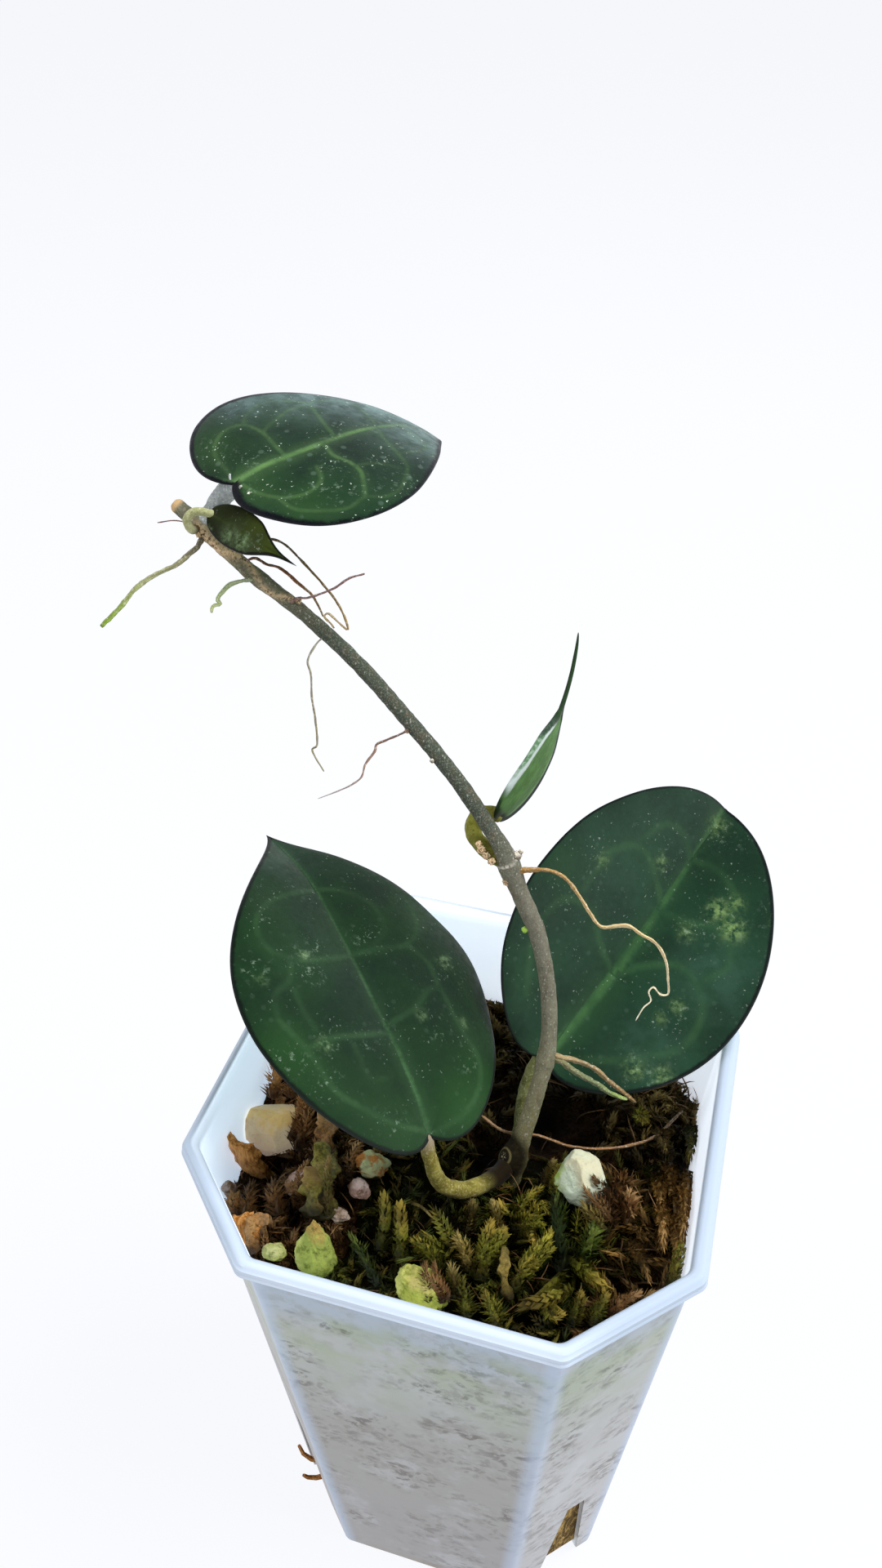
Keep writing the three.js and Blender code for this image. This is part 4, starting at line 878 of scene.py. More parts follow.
def leaf_finish(name, deep, fresh, glow, vein, bloom_and_sheen, margin, specks=0.15, splash="86a571", gloss=0.32,
                flaky=False):
    """A waxy deep green blade with paler veins and blotches, a bluish bloom and painted sheen, dust and a
    near-black margin.
    """
    f = Finish(name, Specular_IOR_Level=gloss, Sheen_Weight=0.03)
    body = f.tinted(f.noise(0.07, 4, 0.55), 0.8, 0.38, 0.64, deep, fresh)
    body = f.tinted(f.noise(0.8, 4, 0.65), 0.3, 0.45, 0.7, body, fresh)
    body = f.tinted(f.noise(0.14, 5, 0.6), 0.5, 0.52, 0.68, body, deep)
    # Pale bluish blots: partly the leaf's own bloom, partly painted sheen where light glances off the wax.
    bloom = f.times(f.attribute("bloom_and_sheen"), f.range(f.noise(0.3, 4, 0.65), 0.36, 0.62, 0.4, 1.0))
    body = f.mix(f.times(bloom, 0.6), body, bloom_and_sheen)
    body = f.mix(f.times(f.attribute("glow"), 0.55), body, glow)
    near = f.times(f.range(f.attribute("vein"), 0.0, 6.0, 0.2, 0.0), f.attribute("vein_weight"))
    body = f.mix(near, body, vein)
    wobble = f.uneven(0.9, 0.9, 2)
    strength = f.range(f.plus(f.attribute("vein"), wobble), 0.1, 1.7, 1.0, 0.0)
    fading = f.range(f.noise(0.16, 3), 0.36, 0.6, 0.45, 1.0)
    strength = f.times(strength, fading)
    body = f.mix(f.times(strength, f.attribute("vein_weight")), body, vein)
    if flaky:
        patch = f.range(f.times(f.attribute("splash"), f.noise(1.9, 3, 0.6)), 0.54, 0.58)
    else:
        patch = f.times(f.attribute("splash"), f.range(f.noise(0.9, 4, 0.6), 0.36, 0.6))
    body = f.mix(f.times(patch, 0.8), body, splash)
    grains = f.times(f.range(f.noise(0.9, 4, 0.7), 0.55, 0.68), f.attribute("dust"))
    body = f.mix(f.times(grains, 0.4), body, "8fa890")
    drops = f.range(f.cells(0.33), 0.09, 0.2, 1.0, 0.0)
    body = f.mix(f.times(drops, specks * 0.25), body, "7f9a88")
    warped = f.together("ADD", f.place, f.add("TexNoise", 1, Vector=f.place, Scale=2.2, Detail=2.0))
    stars = f.range(f.cells(1.1, where=warped), 0.06, 0.2, 1.0, 0.0)
    stars = f.times(stars, f.range(f.noise(0.22, 4, 0.7), 0.46, 0.62))
    body = f.mix(f.times(stars, specks * 2.0), body, "c3cfc0")
    under = f.attribute("under")
    below = f.tinted(f.noise(0.9, 4, 0.6), 0.5, 0.45, 0.65, "5f8f4f", "46703c")
    body = f.mix(under, body, below)
    ragged = f.uneven(1.1, 0.45, 4, 0.7)
    edge = f.plus(f.attribute("margin"), ragged)
    body = f.mix(f.range(edge, 0.55, 1.2, 1.0, 0.0), body, margin)
    return f.surface(body, f.range(f.noise(0.9, 4), 0.3, 0.7, 0.42, 0.58),
                     f.plus(f.noise(1.6, 5, 0.6), f.times(drops, 0.6)), 0.07, 0.5)


def underside_finish():
    """The middle leaf, seen from below: pale green, painted sheen as a whitish strip along one side, and a
    dark margin.
    """
    f = Finish("pale_underside", Specular_IOR_Level=0.04)
    across = f.plus(f.attribute("across"), f.uneven(0.25, 0.25, 3))
    body = f.tinted(f.noise(0.5, 4, 0.6), 0.7, 0.4, 0.65, "4a6c3a", "5c8448")
    body = f.tinted(f.noise(1.7, 3, 0.6), 0.55, 0.6, 0.7, body, "2f4f28")
    # Painted sheen: a whitish strip and a bright line along the fold at one side, where light glances off.
    short = f.times(f.range(f.attribute("flat_x"), 17, 20, 1.0, 0.0), f.range(f.attribute("flat_x"), 3, 6))
    slanted = f.plus(across, f.range(f.attribute("flat_x"), 3, 16, 0.2, -0.02))
    pale = f.times(f.range(slanted, -0.68, -0.78, 0.0, 0.85), short)
    body = f.mix(pale, body, f.mix(f.range(f.noise(1.2, 4, 0.7), 0.45, 0.6), "5c7c5c", "93ab94"))
    line = f.range(f.math("ABSOLUTE", f.plus(slanted, 0.76)), 0.05, 0.15, 0.85, 0.0)
    body = f.mix(f.times(line, short), body, "cdd8d4")
    body = f.mix(f.range(across, 0.5, 0.62, 0.0, 0.3), body, "9dbb8c")
    edge = f.plus(f.attribute("margin"), f.uneven(0.5, 0.5, 3))
    shade = f.times(f.range(edge, 0.55, 0.95, 1.0, 0.0), f.range(across, -0.5, 0.2, 0.8, 1.0))
    shade = f.larger(shade, f.range(f.attribute("flat_x"), 18, 24, 0.0, 0.7))
    body = f.mix(shade, body, "131d1b")
    body = f.mix(f.range(f.attribute("flat_x"), 0.5, 2.2, 0.85, 0.0), body, "1f2a12")
    return f.surface(body, 0.5, f.noise(1.4, 4), 0.06, 0.5)


def stalk_finish(name, body, light, speck, tip=None, foot=None):
    """A thick, slightly scurfy leaf stalk. It may have its own colours at its tip and its foot."""
    f = Finish(name, Specular_IOR_Level=0.15, Sheen_Weight=0.03)
    colour = f.tinted(f.noise(0.45, 4, 0.6), 0.9, 0.38, 0.66, body, light)
    colour = f.tinted(f.noise(2.4, 4, 0.7), 0.7, 0.5, 0.68, colour, speck)
    freckles = f.noise(1.7, 4, 0.7, where=f.stretched((20, 0, 50), (1, 1, 1)))
    colour = f.tinted(freckles, 0.45, 0.56, 0.7, colour, "2c2a12")
    along = f.attribute("along")
    if tip:
        colour = f.mix(f.range(along, 0.86, 0.97), colour, tip)
    if foot:
        colour = f.mix(f.range(along, 0.34, 0.18), colour, foot)
    return f.surface(colour, 0.6, f.noise(2.0, 5, 0.65), 0.2, 0.7)


def vine_finish():
    """Grey-olive bark, browner towards its foot, with pale specks, crusts, a cut tip and a ring scar."""
    f = Finish("speckled_vine", Specular_IOR_Level=0.08)
    height = f.split(f.place)[2]
    body = f.mix(f.range(height, 128, 160), "7a7762", "757262")
    body = f.mix(f.range(height, 164, 178), body, "454b40")
    body = f.mix(f.range(height, 203, 214), body, "6c6a55")
    body = f.mix(f.range(height, 112, 142, 0.95, 0.0), body, "655f34")
    fibres = f.noise(1.0, 4, 0.65, where=f.stretched((0, 0, 0), (0.9, 0.9, 0.16)))
    body = f.tinted(fibres, 0.55, 0.5, 0.66, body, "5f5343")
    body = f.tinted(f.noise(0.7, 4, 0.6), 0.35, 0.5, 0.66, body, "44463a")
    flecks = f.range(f.cells(1.5, where=f.stretched((40, 0, 30), (1, 1, 0.6))), 0.1, 0.26, 1.0, 0.0)
    body = f.mix(f.times(flecks, 0.5), body, "b5b7a8")
    body = f.tinted(f.noise(3.4, 4, 0.7), 0.35, 0.5, 0.62, body, "9a9d8c")
    crust = f.times(f.attribute("scar"), f.range(f.noise(1.3, 4, 0.7), 0.3, 0.5))
    crumbs = f.mix(f.range(f.noise(1.9, 4, 0.7), 0.36, 0.5), "4a3520", "d8bb92")
    body = f.mix(crust, body, crumbs)
    body = f.mix(f.times(f.attribute("pale"), f.range(f.noise(2.0, 3), 0.3, 0.55)), body, "e6dfcf")
    body = f.mix(f.attribute("bud"), body, "a9cf5a")
    ring = f.attribute("ring")
    near = f.range(ring, 3.2, 5.6, 0.95, 0.0)
    body = f.mix(near, body, f.mix(f.range(f.noise(1.2, 4, 0.7), 0.45, 0.65), "080503", "1c1408"))
    circle = f.range(f.math("ABSOLUTE", f.minus(ring, 1.45)), 0.05, 0.28, 0.75, 0.0)
    body = f.mix(circle, body, "6f6542")
    centre = f.times(f.range(ring, 0.6, 0.9, 0.8, 0.0), f.range(f.noise(2.6, 2), 0.45, 0.6))
    body = f.mix(centre, body, "a89f80")
    body = f.mix(f.range(f.attribute("along"), 0.991, 0.996), body, "c2a276")
    return f.surface(body, 0.65, f.plus(f.noise(2.6, 6, 0.7), fibres), 0.22, 0.8)


def root_finish(name, near, middle, far):
    """A dry aerial root with grooves along it."""
    f = Finish(name, Specular_IOR_Level=0.15, Sheen_Weight=0.1)
    along = f.attribute("along")
    body = f.mix(f.range(along, 0.05, 0.5), near, middle)
    body = f.mix(f.range(along, 0.5, 1.0), body, far)
    turns = f.plus(f.times(f.attribute("turn"), 18.85), f.times(f.noise(0.4, 2), 6.0))
    groove = f.math("SINE", turns)
    body = f.mix(f.range(groove, 0.2, 0.9, 0.0, 0.35), body, f.mix(0.6, near, "2a1a0e"))
    body = f.tinted(f.noise(2.4, 4, 0.7), 0.5, 0.52, 0.68, body, "efe6cf")
    body = f.tinted(f.noise(0.9, 3, 0.6), 0.4, 0.55, 0.7, body, near)
    return f.surface(body, 0.7, f.plus(f.noise(3.0, 5, 0.7), groove), 0.12, 0.8)


def pumice_finish(name, middle, half, body, side, top, foot):
    """Porous stone, stained on its left side, at its top and at its foot."""
    f = Finish(name, Specular_IOR_Level=0.1)
    x, _, z = f.split(f.together("DIVIDE", f.together("SUBTRACT", f.place, middle), half))
    wavy = f.uneven(1.3, 0.4, 4, 0.6)
    colour = f.mix(f.range(f.plus(z, wavy), 0.1, -0.9), body, foot)
    colour = f.mix(f.range(f.minus(f.plus(z, f.times(x, 0.15)), wavy), 0.5, 1.1), colour, top)
    colour = f.mix(f.range(f.minus(wavy, x), 0.45, 0.95), colour, side)
    pits = f.range(f.cells(1.6), 0.05, 0.4)
    dark = f.mix(0.6, foot, "2e2412")
    colour = f.mix(f.times(f.minus(1.0, pits), 0.14), colour, dark)
    colour = f.tinted(f.noise(0.9, 5, 0.7), 0.3, 0.54, 0.74, colour, dark)
    if name in ROUGH_LUMPS:
        colour = f.tinted(f.noise(0.45, 4, 0.7), 0.7, 0.5, 0.66, colour, dark)
    # Painted light: a lump may glow with its own colour.
    f.glow(colour, LUMP_GLOW.get(name, 0.0))
    return f.surface(colour, 0.9, f.plus(f.times(pits, 0.3), f.noise(1.2, 5, 0.7)), 0.22, 0.7)


def crumb_finish(name, body, stain):
    """A small fragment of stone, partly overgrown."""
    f = Finish(name, Specular_IOR_Level=0.1)
    colour = f.mix(f.range(f.noise(0.32, 4, 0.65), 0.44, 0.58), body, stain)
    return f.surface(f.tinted(f.noise(0.9, 4, 0.7), 0.6, 0.55, 0.7, colour, "3a2c16"), 0.9,
                     f.noise(1.6, 5, 0.7), 0.3, 0.7)


def bark_finish():
    """Flaky brown bark with fibres up it."""
    f = Finish("bark", Specular_IOR_Level=0.2)
    fibres = f.noise(1.0, 5, 0.65, where=f.stretched((0, 0, 20), (1.6, 1.6, 0.25)))
    return f.surface(f.mix(f.range(fibres, 0.36, 0.62), "94581f", "d49550"), 0.7, fibres, 0.4, 0.8)


def moss_finish(name, dark, mid, bright, tip, seeping=0.0):
    """Leafy moss: each shoot has its own tint, painted shade at its foot, deep down and in the hollows, and
    dries at its tip. Near the left wall the moss may glow: painted light for daylight through the wall."""
    f = Finish(name, Specular_IOR_Level=0.25)
    body = f.mix(f.attribute("tint"), mid, bright)
    body = f.tinted(f.noise(0.9, 5, 0.75), 0.8, 0.44, 0.6, body, mid)
    body = f.tinted(f.noise(0.25, 3), 0.4, 0.5, 0.62, body, tip)
    body = f.tinted(f.noise(1.9, 3, 0.7), 0.5, 0.5, 0.6, body, dark)
    # Painted shade: darker towards the foot of each shoot.
    body = f.mix(f.range(f.attribute("along"), 0.0, 0.5, 0.9, 0.0), body, dark)
    ripe = f.times(f.range(f.attribute("along"), 0.45, 1.05), f.attribute("dry"))
    body = f.mix(ripe, body, tip)
    body = f.mix(f.times(f.attribute("shade"), 0.95), body, "040302")
    # Painted light: near the left wall the moss glows with its own colour.
    if seeping:
        x, y, _ = f.split(f.place)
        lit = f.times(f.range(x, -26, -36, 0.0, seeping), f.range(y, -16, -6))
        f.glow(body, lit)
    return f.surface(body, 0.55, f.noise(3.0, 3), 0.1, 0.5)


def ground_finish(name, dark, light):
    """Dead moss between the shoots: painted shade makes it near black in the hollows; brown and fibrous on
    the humps.
    """
    f = Finish(name, Specular_IOR_Level=0.1)
    fibres = f.noise(0.9, 6, 0.75, 1.5)
    body = f.mix(f.range(fibres, 0.42, 0.68), dark, light)
    return f.surface(f.mix(f.times(f.attribute("shade"), 0.97), body, "030201"), 0.9, fibres, 0.9, 1.0)


def past_wall(f, x, y, z):
    """How far a spot lies outside the wall's straight sides, and how far outside its corner sides."""
    high = POT_HEIGHT - LIP_HEIGHT
    spread = (TOP_HALF_WIDTH - BASE_HALF_WIDTH) / high
    corner_base = (2 * BASE_HALF_WIDTH - BASE_CORNER_CUT) * math.sqrt(0.5)
    corner_spread = ((2 * TOP_HALF_WIDTH - TOP_CORNER_CUT) * math.sqrt(0.5) - corner_base) / high
    across, deep = f.math("ABSOLUTE", x), f.math("ABSOLUTE", y)
    straight = f.minus(f.larger(across, deep), f.times(z, spread))
    straight = f.minus(straight, BASE_HALF_WIDTH)
    corner = f.times(f.plus(across, deep), math.sqrt(0.5))
    corner = f.minus(corner, f.times(z, corner_spread))
    corner = f.minus(corner, corner_base)
    return straight, corner


def bed_finish():
    """What fills the pot: olive-brown fibres, tan where strands hang out of the slots."""
    f = Finish("brown_bed", Specular_IOR_Level=0.1)
    fibres = f.noise(0.5, 5, 0.7, 1.5, where=f.stretched((0, 0, 0), (1.3, 1.3, 0.3)))
    x, y, z = f.split(f.place)
    inside = f.mix(f.range(fibres, 0.42, 0.66), "54401c", "c2a05c")
    hanging = f.mix(f.range(fibres, 0.35, 0.6), "8a5426", "c08a54")
    past = f.larger(*past_wall(f, x, y, z))
    return f.surface(f.mix(f.range(past, -1.0, -0.2), inside, hanging), 0.85, fibres, 0.5, 1.0)


def strokes(f, turn, length, width, kept, seed):
    """Short wavering dashes: long thin cells, of which a share is kept, and only the middle of each."""
    wobble = f.add("TexNoise", 1, Vector=f.place, Scale=0.3, Detail=3.0)
    moved = f.together("ADD", f.place, f.add("VectorMath", operation="SCALE", Vector=wobble, Scale=3.0))
    moved = f.together("ADD", moved, (seed, seed * 2.0, seed))
    where = f.stretched(turn, (1 / length, 1 / length, 1 / width), where=moved)
    middle = f.range(f.cells(1.0, where=where), 0.2, 0.46, 1.0, 0.0)
    chance = f.split(f.cells(1.0, where=where, output="Color"))[0]
    return f.times(middle, f.math("LESS_THAN", chance, kept))


def stained(f):
    """Where moss presses against the pot's wall, from 0 to 1."""
    further_back = f.range(f.split(f.place)[1], -34, -22, 0.6, 1.0)
    total = f.times(f.range(f.noise(0.06, 2, 0.5), 0.4, 0.58), further_back)
    for place, wide, high in STAINS:
        off = f.together("DIVIDE", f.together("SUBTRACT", f.place, place), (wide, wide, high))
        away = f.add("VectorMath", 1, operation="LENGTH", Vector=off)
        total = f.larger(total, f.range(away, 0.3, 1.4, 1.0, 0.0))
    return total


def pot_finish():
    """Milky plastic: clear bluish white at the lip, and stained with strokes and smudges of moss below it."""
    f = Finish("milky_plastic", Specular_IOR_Level=0.4)
    x, y, z = f.split(f.place)
    depth = f.minus(POT_HEIGHT, z)
    uneven = f.uneven(20.0, 0.07, 3)
    deep = f.plus(depth, uneven)
    milk = f.mix(f.range(deep, 9, 21), "a4b2c0", "a7aca8")
    milk = f.mix(f.range(deep, 28, 60), milk, "93928d")
    milk = f.mix(f.range(deep, 70, 105), milk, "908e8e")
    milk = f.tinted(f.noise(0.08, 5, 0.65), 0.5, 0.48, 0.66, milk, "b4b6ba")
    clouds = f.noise(0.14, 5, 0.65, where=f.stretched((50, 0, 20), (1, 1, 1)))
    milk = f.tinted(clouds, 0.35, 0.5, 0.68, milk, "85857e")
    green = f.times(f.range(f.noise(0.1, 4, 0.6), 0.42, 0.6), f.range(deep, 50, 22))
    green = f.times(green, f.range(deep, 8, 16))
    milk = f.mix(f.times(green, 0.6), milk, "93a27e")
    # Painted light: lighter on the faces at the right, as if lit from there, fading out towards the lip.
    right = f.range(f.minus(x, f.times(z, 0.055)), 17.6, 19.6)
    milk = f.mix(f.times(right, f.range(depth, 25, 65, 0.0, 0.42)), milk, "cfd3d8")
    crowd = stained(f)
    wash = f.times(f.range(f.noise(0.26, 5, 0.75), 0.47, 0.6), crowd)
    milk = f.mix(f.times(wash, 0.6), milk, f.mix(f.range(deep, 20, 48), "74796a", "78716a"))
    bold = f.larger(strokes(f, (0, 30, 0), 7.0, 3.0, 0.4, 3.0), strokes(f, (0, -35, 0), 5.5, 2.6, 0.4, 11.0))
    small = f.larger(strokes(f, (0, 5, 0), 3.2, 1.5, 0.5, 23.0), strokes(f, (0, 62, 0), 3.0, 1.6, 0.4, 31.0))
    dash = f.larger(bold, f.times(small, 0.85))
    dash = f.times(f.times(dash, crowd), f.range(deep, 8, 16))
    dash = f.times(dash, f.range(f.noise(0.6, 5, 0.8), 0.38, 0.5))
    dark = f.mix(f.range(deep, 14, 48), "3c4a34", "4a4038")
    milk = f.mix(f.times(dash, 0.85), milk, dark)
    rusty = f.times(f.range(z, 5, 0.5, 0.0, 0.6), f.range(f.noise(0.1, 3), 0.4, 0.6))
    milk = f.mix(rusty, milk, "8f7f6a")
    straight, corner = past_wall(f, x, y, z)
    # Painted highlight: a soft pale bluish band along each upright corner edge.
    from_edge = f.math("ABSOLUTE", f.minus(straight, corner))
    milk = f.mix(f.range(from_edge, 2.2, 0.3, 0.0, 0.55), milk, "b2c6e2")
    lip = f.mix(f.range(x, 22, 34), f.mix(f.range(x, -33, -20), "b6c4d5", "cdd9e8"), "b2c0d0")
    milk = f.mix(f.range(depth, LIP_HEIGHT + 0.4, LIP_HEIGHT + 0.1), milk, lip)
    inner = f.tinted(f.noise(0.2, 3), 0.4, 0.4, 0.7, "e6eef6", "d3dfea")
    near_side = f.larger(f.range(y, -14, -32), f.range(x, 5, 25))
    strip = f.times(f.range(depth, 2.2, 0.9), near_side)
    inner = f.mix(strip, inner, "bdcadb")
    outside = f.attribute("outside")
    # Painted light: the inside of the wall above the moss glows pale blue, standing for daylight through the
    # plastic.
    bright = f.larger(f.range(x, -35, 10, 0.76, 0.6), f.range(y, 15, 38, 0.0, 0.72))
    bright = f.times(f.times(bright, f.minus(1.0, strip)), f.range(z, 60, 95))
    f.glow(f.mix(f.range(x, -35, 10), "c3d6ea", "f0f5ff"), f.times(f.minus(1.0, outside), bright))
    return f.surface(f.mix(outside, inner, milk), 0.35, f.noise(0.6, 3), 0.04, 0.3)


# Pot


EIGHTH = math.pi / 4


def wall_at(z):
    """The half-width and the corner cut of the wall's outer face at a height."""
    share = z / (POT_HEIGHT - LIP_HEIGHT)
    return mix(BASE_HALF_WIDTH, TOP_HALF_WIDTH, share), mix(BASE_CORNER_CUT, TOP_CORNER_CUT, share)


def wall_reach(side, z):
    """How far the wall's outer face lies from the middle, for each of the eight sides."""
    half, cut = wall_at(z)
    return half if side % 2 == 0 else (2 * half - cut) * math.sqrt(0.5)


def wall_planes(inward):
    """A point on and the outward normal of each of the eight faces of the wall, moved inward."""
    planes = []
    for side in range(8):
        angle = side * EIGHTH
        out = Vector((math.cos(angle), math.sin(angle), 0))
        slope = (wall_reach(side, POT_HEIGHT) - wall_reach(side, 0)) / POT_HEIGHT
        normal = Vector((out.x, out.y, -slope)).normalized()
        planes.append((out * (wall_reach(side, POT_HEIGHT) - inward) + Vector((0, 0, POT_HEIGHT)), normal))
    return planes


INNER_PLANES = wall_planes(WALL + GAP)


def kept_inside(spot, margin):
    """The spot, moved in where it would come nearer than margin to the inside of the pot's wall."""
    for point, normal in INNER_PLANES:
        excess = normal.dot(spot - point) + margin
        if excess > 0:
            spot = spot - normal * excess
    return spot


def octagon_corners(z, outward):
    """The eight corners of the wall's outer face at a height, moved outward."""
    corners = []
    for side in range(8):
        angle = side * EIGHTH
        a, b = wall_reach(side, z) + outward, wall_reach(side + 1, z) + outward
        along = (b - a * math.cos(EIGHTH)) / math.sin(EIGHTH)
        corners.append(Vector((a * math.cos(angle) - along * math.sin(angle),
                               a * math.sin(angle) + along * math.cos(angle), z)))
    return corners


def shape_ring(verts, z, outward):
    """Moves eight vertices to the corners of the wall, in their order round it."""
    ordered = sorted(verts, key=lambda v: math.atan2(v.co.y, v.co.x) % (2 * math.pi))
    for vert, corner in zip(ordered, octagon_corners(z, outward)):
        vert.co = corner


def new_parts(made, kind):
    return [part for part in made["geom"] if isinstance(part, kind)]


def pot():
    """The pot's skin: rings pulled up the outside, over the lip and down the inside, with round corners."""
    top = POT_HEIGHT
    under_lip = top - LIP_HEIGHT
    rings = [(0, -2.4), (0, -0.9), (0.25, -0.4), (0.9, 0)]
    rings += [(z, 0) for z in (30, 60, 90, under_lip - 0.25)]
    rings += [(under_lip, 0.25), (under_lip, LIP_OVERHANG - 0.7), (under_lip + 0.12, LIP_OVERHANG - 0.25),
              (under_lip + 0.4, LIP_OVERHANG - 0.02), (under_lip + 0.7, LIP_OVERHANG - 0.12),
              (under_lip + 0.95, LIP_OVERHANG - 0.3), (top - 1.3, LIP_OVERHANG - 0.3),
              (top - 0.95, LIP_OVERHANG - 0.4), (top - 0.7, LIP_OVERHANG - 0.75),
              (top - 0.35, LIP_OVERHANG - 0.95),
              (top - 0.08, LIP_OVERHANG - 1.35), (top, LIP_OVERHANG - 1.8), (top - 0.08, -0.1),
              (top - 0.35, -0.55), (top - 0.9, -0.9), (under_lip, -WALL), (90, -WALL), (50, -WALL),
              (FLOOR + 1.2, -WALL), (FLOOR, -WALL - 1.2)]
    bm = bmesh.new()
    ring = bmesh.ops.create_circle(bm, segments=8, radius=1, cap_ends=True)["verts"]
    edges = list(ring[0].link_faces[0].edges)
    shape_ring(ring, *rings[0])
    for z, outward in rings[1:]:
        made = bmesh.ops.extrude_edge_only(bm, edges=edges)
        verts = new_parts(made, bmesh.types.BMVert)
        edges = [e for e in new_parts(made, bmesh.types.BMEdge) if all(v in verts for v in e.verts)]
        shape_ring(verts, z, outward)
    bmesh.ops.contextual_create(bm, geom=edges)
    upright = [e for e in bm.edges if abs((e.verts[0].co - e.verts[1].co).normalized().z) > 0.2
               or abs(Vector(e.verts[0].co.xy).angle_signed(Vector(e.verts[1].co.xy), 0)) < 0.02]
    bmesh.ops.bevel(bm, geom=upright, offset=CORNER_RADIUS * 0.42, affect="EDGES", segments=4, profile=0.5,
                    material=-1)
    return bm


def slot_cutter(side):
    """The wedge that is cut through one corner face."""
    bm = bmesh.new()
    bmesh.ops.create_cube(bm, size=1)
    offset = SLOT_OFFSET if side % 2 == 0 else -SLOT_OFFSET
    reach = wall_reach(1, 0)
    for vert in bm.verts:
        upper = vert.co.z > 0
        width = SLOT_TOP_WIDTH if upper else SLOT_BOTTOM_WIDTH
        vert.co = Vector((offset + vert.co.x * width, -reach - 1 + vert.co.y * 10,
                          SLOT_HEIGHT if upper else -1))
    bmesh.ops.rotate(bm, verts=bm.verts[:], matrix=Matrix.Rotation(EIGHTH + side * math.pi / 2, 3, "Z"))
    return new_object("slot_cutter", new_mesh(bm, "slot_cutter", MM))


def make_pot():
    """The pot with its drain slots cut, marked where its face is the outer one."""
    piece = finished(pot(), "pot_shell", [pot_finish()], "pot", smooth=False)
    cutters = [slot_cutter(side) for side in range(4)]
    for cutter in cutters:
        cut = piece.modifiers.new("slot", "BOOLEAN")
        cut.operation = "DIFFERENCE"
        cut.solver = "EXACT"
        cut.object = cutter
    bpy.context.view_layer.update()
    cut_mesh = bpy.data.meshes.new_from_object(piece.evaluated_get(bpy.context.evaluated_depsgraph_get()))
    piece.modifiers.clear()
    piece.data = cut_mesh
    outer = wall_planes(0)
    spots = [vert.co / MM for vert in cut_mesh.vertices]
    past = [max(normal.dot(spot - point) for point, normal in outer) for spot in spots]
    outside = [1.0 if reach > (-0.05 if spot.z > POT_HEIGHT - 1.5 else -0.6) else 0.0
               for spot, reach in zip(spots, past)]
    cut_mesh.attributes.new("outside", "FLOAT", "POINT").data.foreach_set("value", outside)
    for cutter in cutters:
        bpy.data.objects.remove(cutter)
    for polygon in cut_mesh.polygons:
        polygon.use_smooth = True
    cut_mesh.set_sharp_from_angle(angle=math.radians(SMOOTH_UNDER))


# Leaves


def blade_axes(leaf):
    """The directions along a blade's midrib, to its left and up from its face."""
    azimuth, elevation, roll = (math.radians(leaf[k]) for k in ("azimuth", "elevation", "roll"))
    flat = math.cos(elevation)
    along = Vector((math.cos(azimuth) * flat, math.sin(azimuth) * flat, math.sin(elevation)))
    left = Matrix.Rotation(roll, 3, along) @ Vector((-math.sin(azimuth), math.cos(azimuth), 0))
    return along, left, along.cross(left)


def blade_point(leaf, axes, x, y):
    """A place on the flat blade, x along the midrib and y to its left, bent into its real shape."""
    along, left, up = axes
    half = leaf["width"] / 2
    cup = math.radians(leaf["cup"]) or 1e-4
    fold = math.radians(leaf["fold"])
    droop = math.radians(leaf["droop"]) or 1e-4
    turn_across = cup * abs(y) / half
    out_cupped = half / cup * math.sin(turn_across)
    down_cupped = half / cup * (1 - math.cos(turn_across))
    out = out_cupped * math.cos(fold) + down_cupped * math.sin(fold)
    raised = out_cupped * math.sin(fold) - down_cupped * math.cos(fold)
    share = x / leaf["length"]
    sideways = math.copysign(out, y) + leaf["bow"] * 4 * share * (1 - share)
    turn = droop * share
    radius = leaf["length"] / droop
    sideways += leaf["hook"] * max(share, 0) ** 8
    return (Vector(leaf["base"]) + along * ((radius + raised) * math.sin(turn))
            + up * ((radius + raised) * math.cos(turn) - radius) + left * sideways)


def blade_outline(leaf, angle, side=1):
    """Where the outline lies along the midrib and its width there, on the left side or, at -1, the right."""
    share = (1 - math.cos(angle)) / 2
    taper = leaf.get("taper_right", leaf["taper"]) if side < 0 else leaf["taper"]
    narrowing = max(1 - taper * share ** leaf["taper_power"], leaf["tip_width"])
    if "pinch" in leaf:
        start, end, amount = leaf["pinch"]
        pinched = min(max((share - start) / (end - start), 0), 1)
        narrowing *= 1 - amount * pinched * pinched * (3 - 2 * pinched)
    notch_share = angle / NOTCH_ANGLE
    x = leaf["length"] * share - leaf["notch"] * notch_share * math.exp(1 - notch_share)
    return x, math.sin(angle) * narrowing


def widest_of(leaf):
    return max(blade_outline(leaf, math.pi * i / OUTLINE_STEPS)[1] for i in range(OUTLINE_STEPS + 1))


def veins_of(leaf, places):
    """How far each place of the flat blade lies from a vein, in its half-widths, and how bold the vein is."""
    nearest = np.full(len(places), FAR)
    boldness = np.zeros(len(places))
    for weight, points in leaf["veins"]:
        flat = [(x * leaf["length"], y * leaf["width"] / 2, 0) for x, y in points]
        line = np.array([p[:2] for p in smooth_curve(flat, VEIN_STEPS)])
        rib, side = leaf["vein_widths"]
        for step, spot in enumerate(line):
            share = step / VEIN_STEPS
            half = mix(rib * 1.3, rib * 0.6, share) if weight == 1.0 else side
            away = np.hypot(*(places - spot).T) / half
            closer = away < nearest
            nearest = np.where(closer, away, nearest)
            bold = mix(1, 0.45, share) if weight == 1.0 else weight * leaf["side_veins"] * mix(1, 0.7, share)
            boldness = np.where(closer, bold, boldness)
    return nearest, boldness


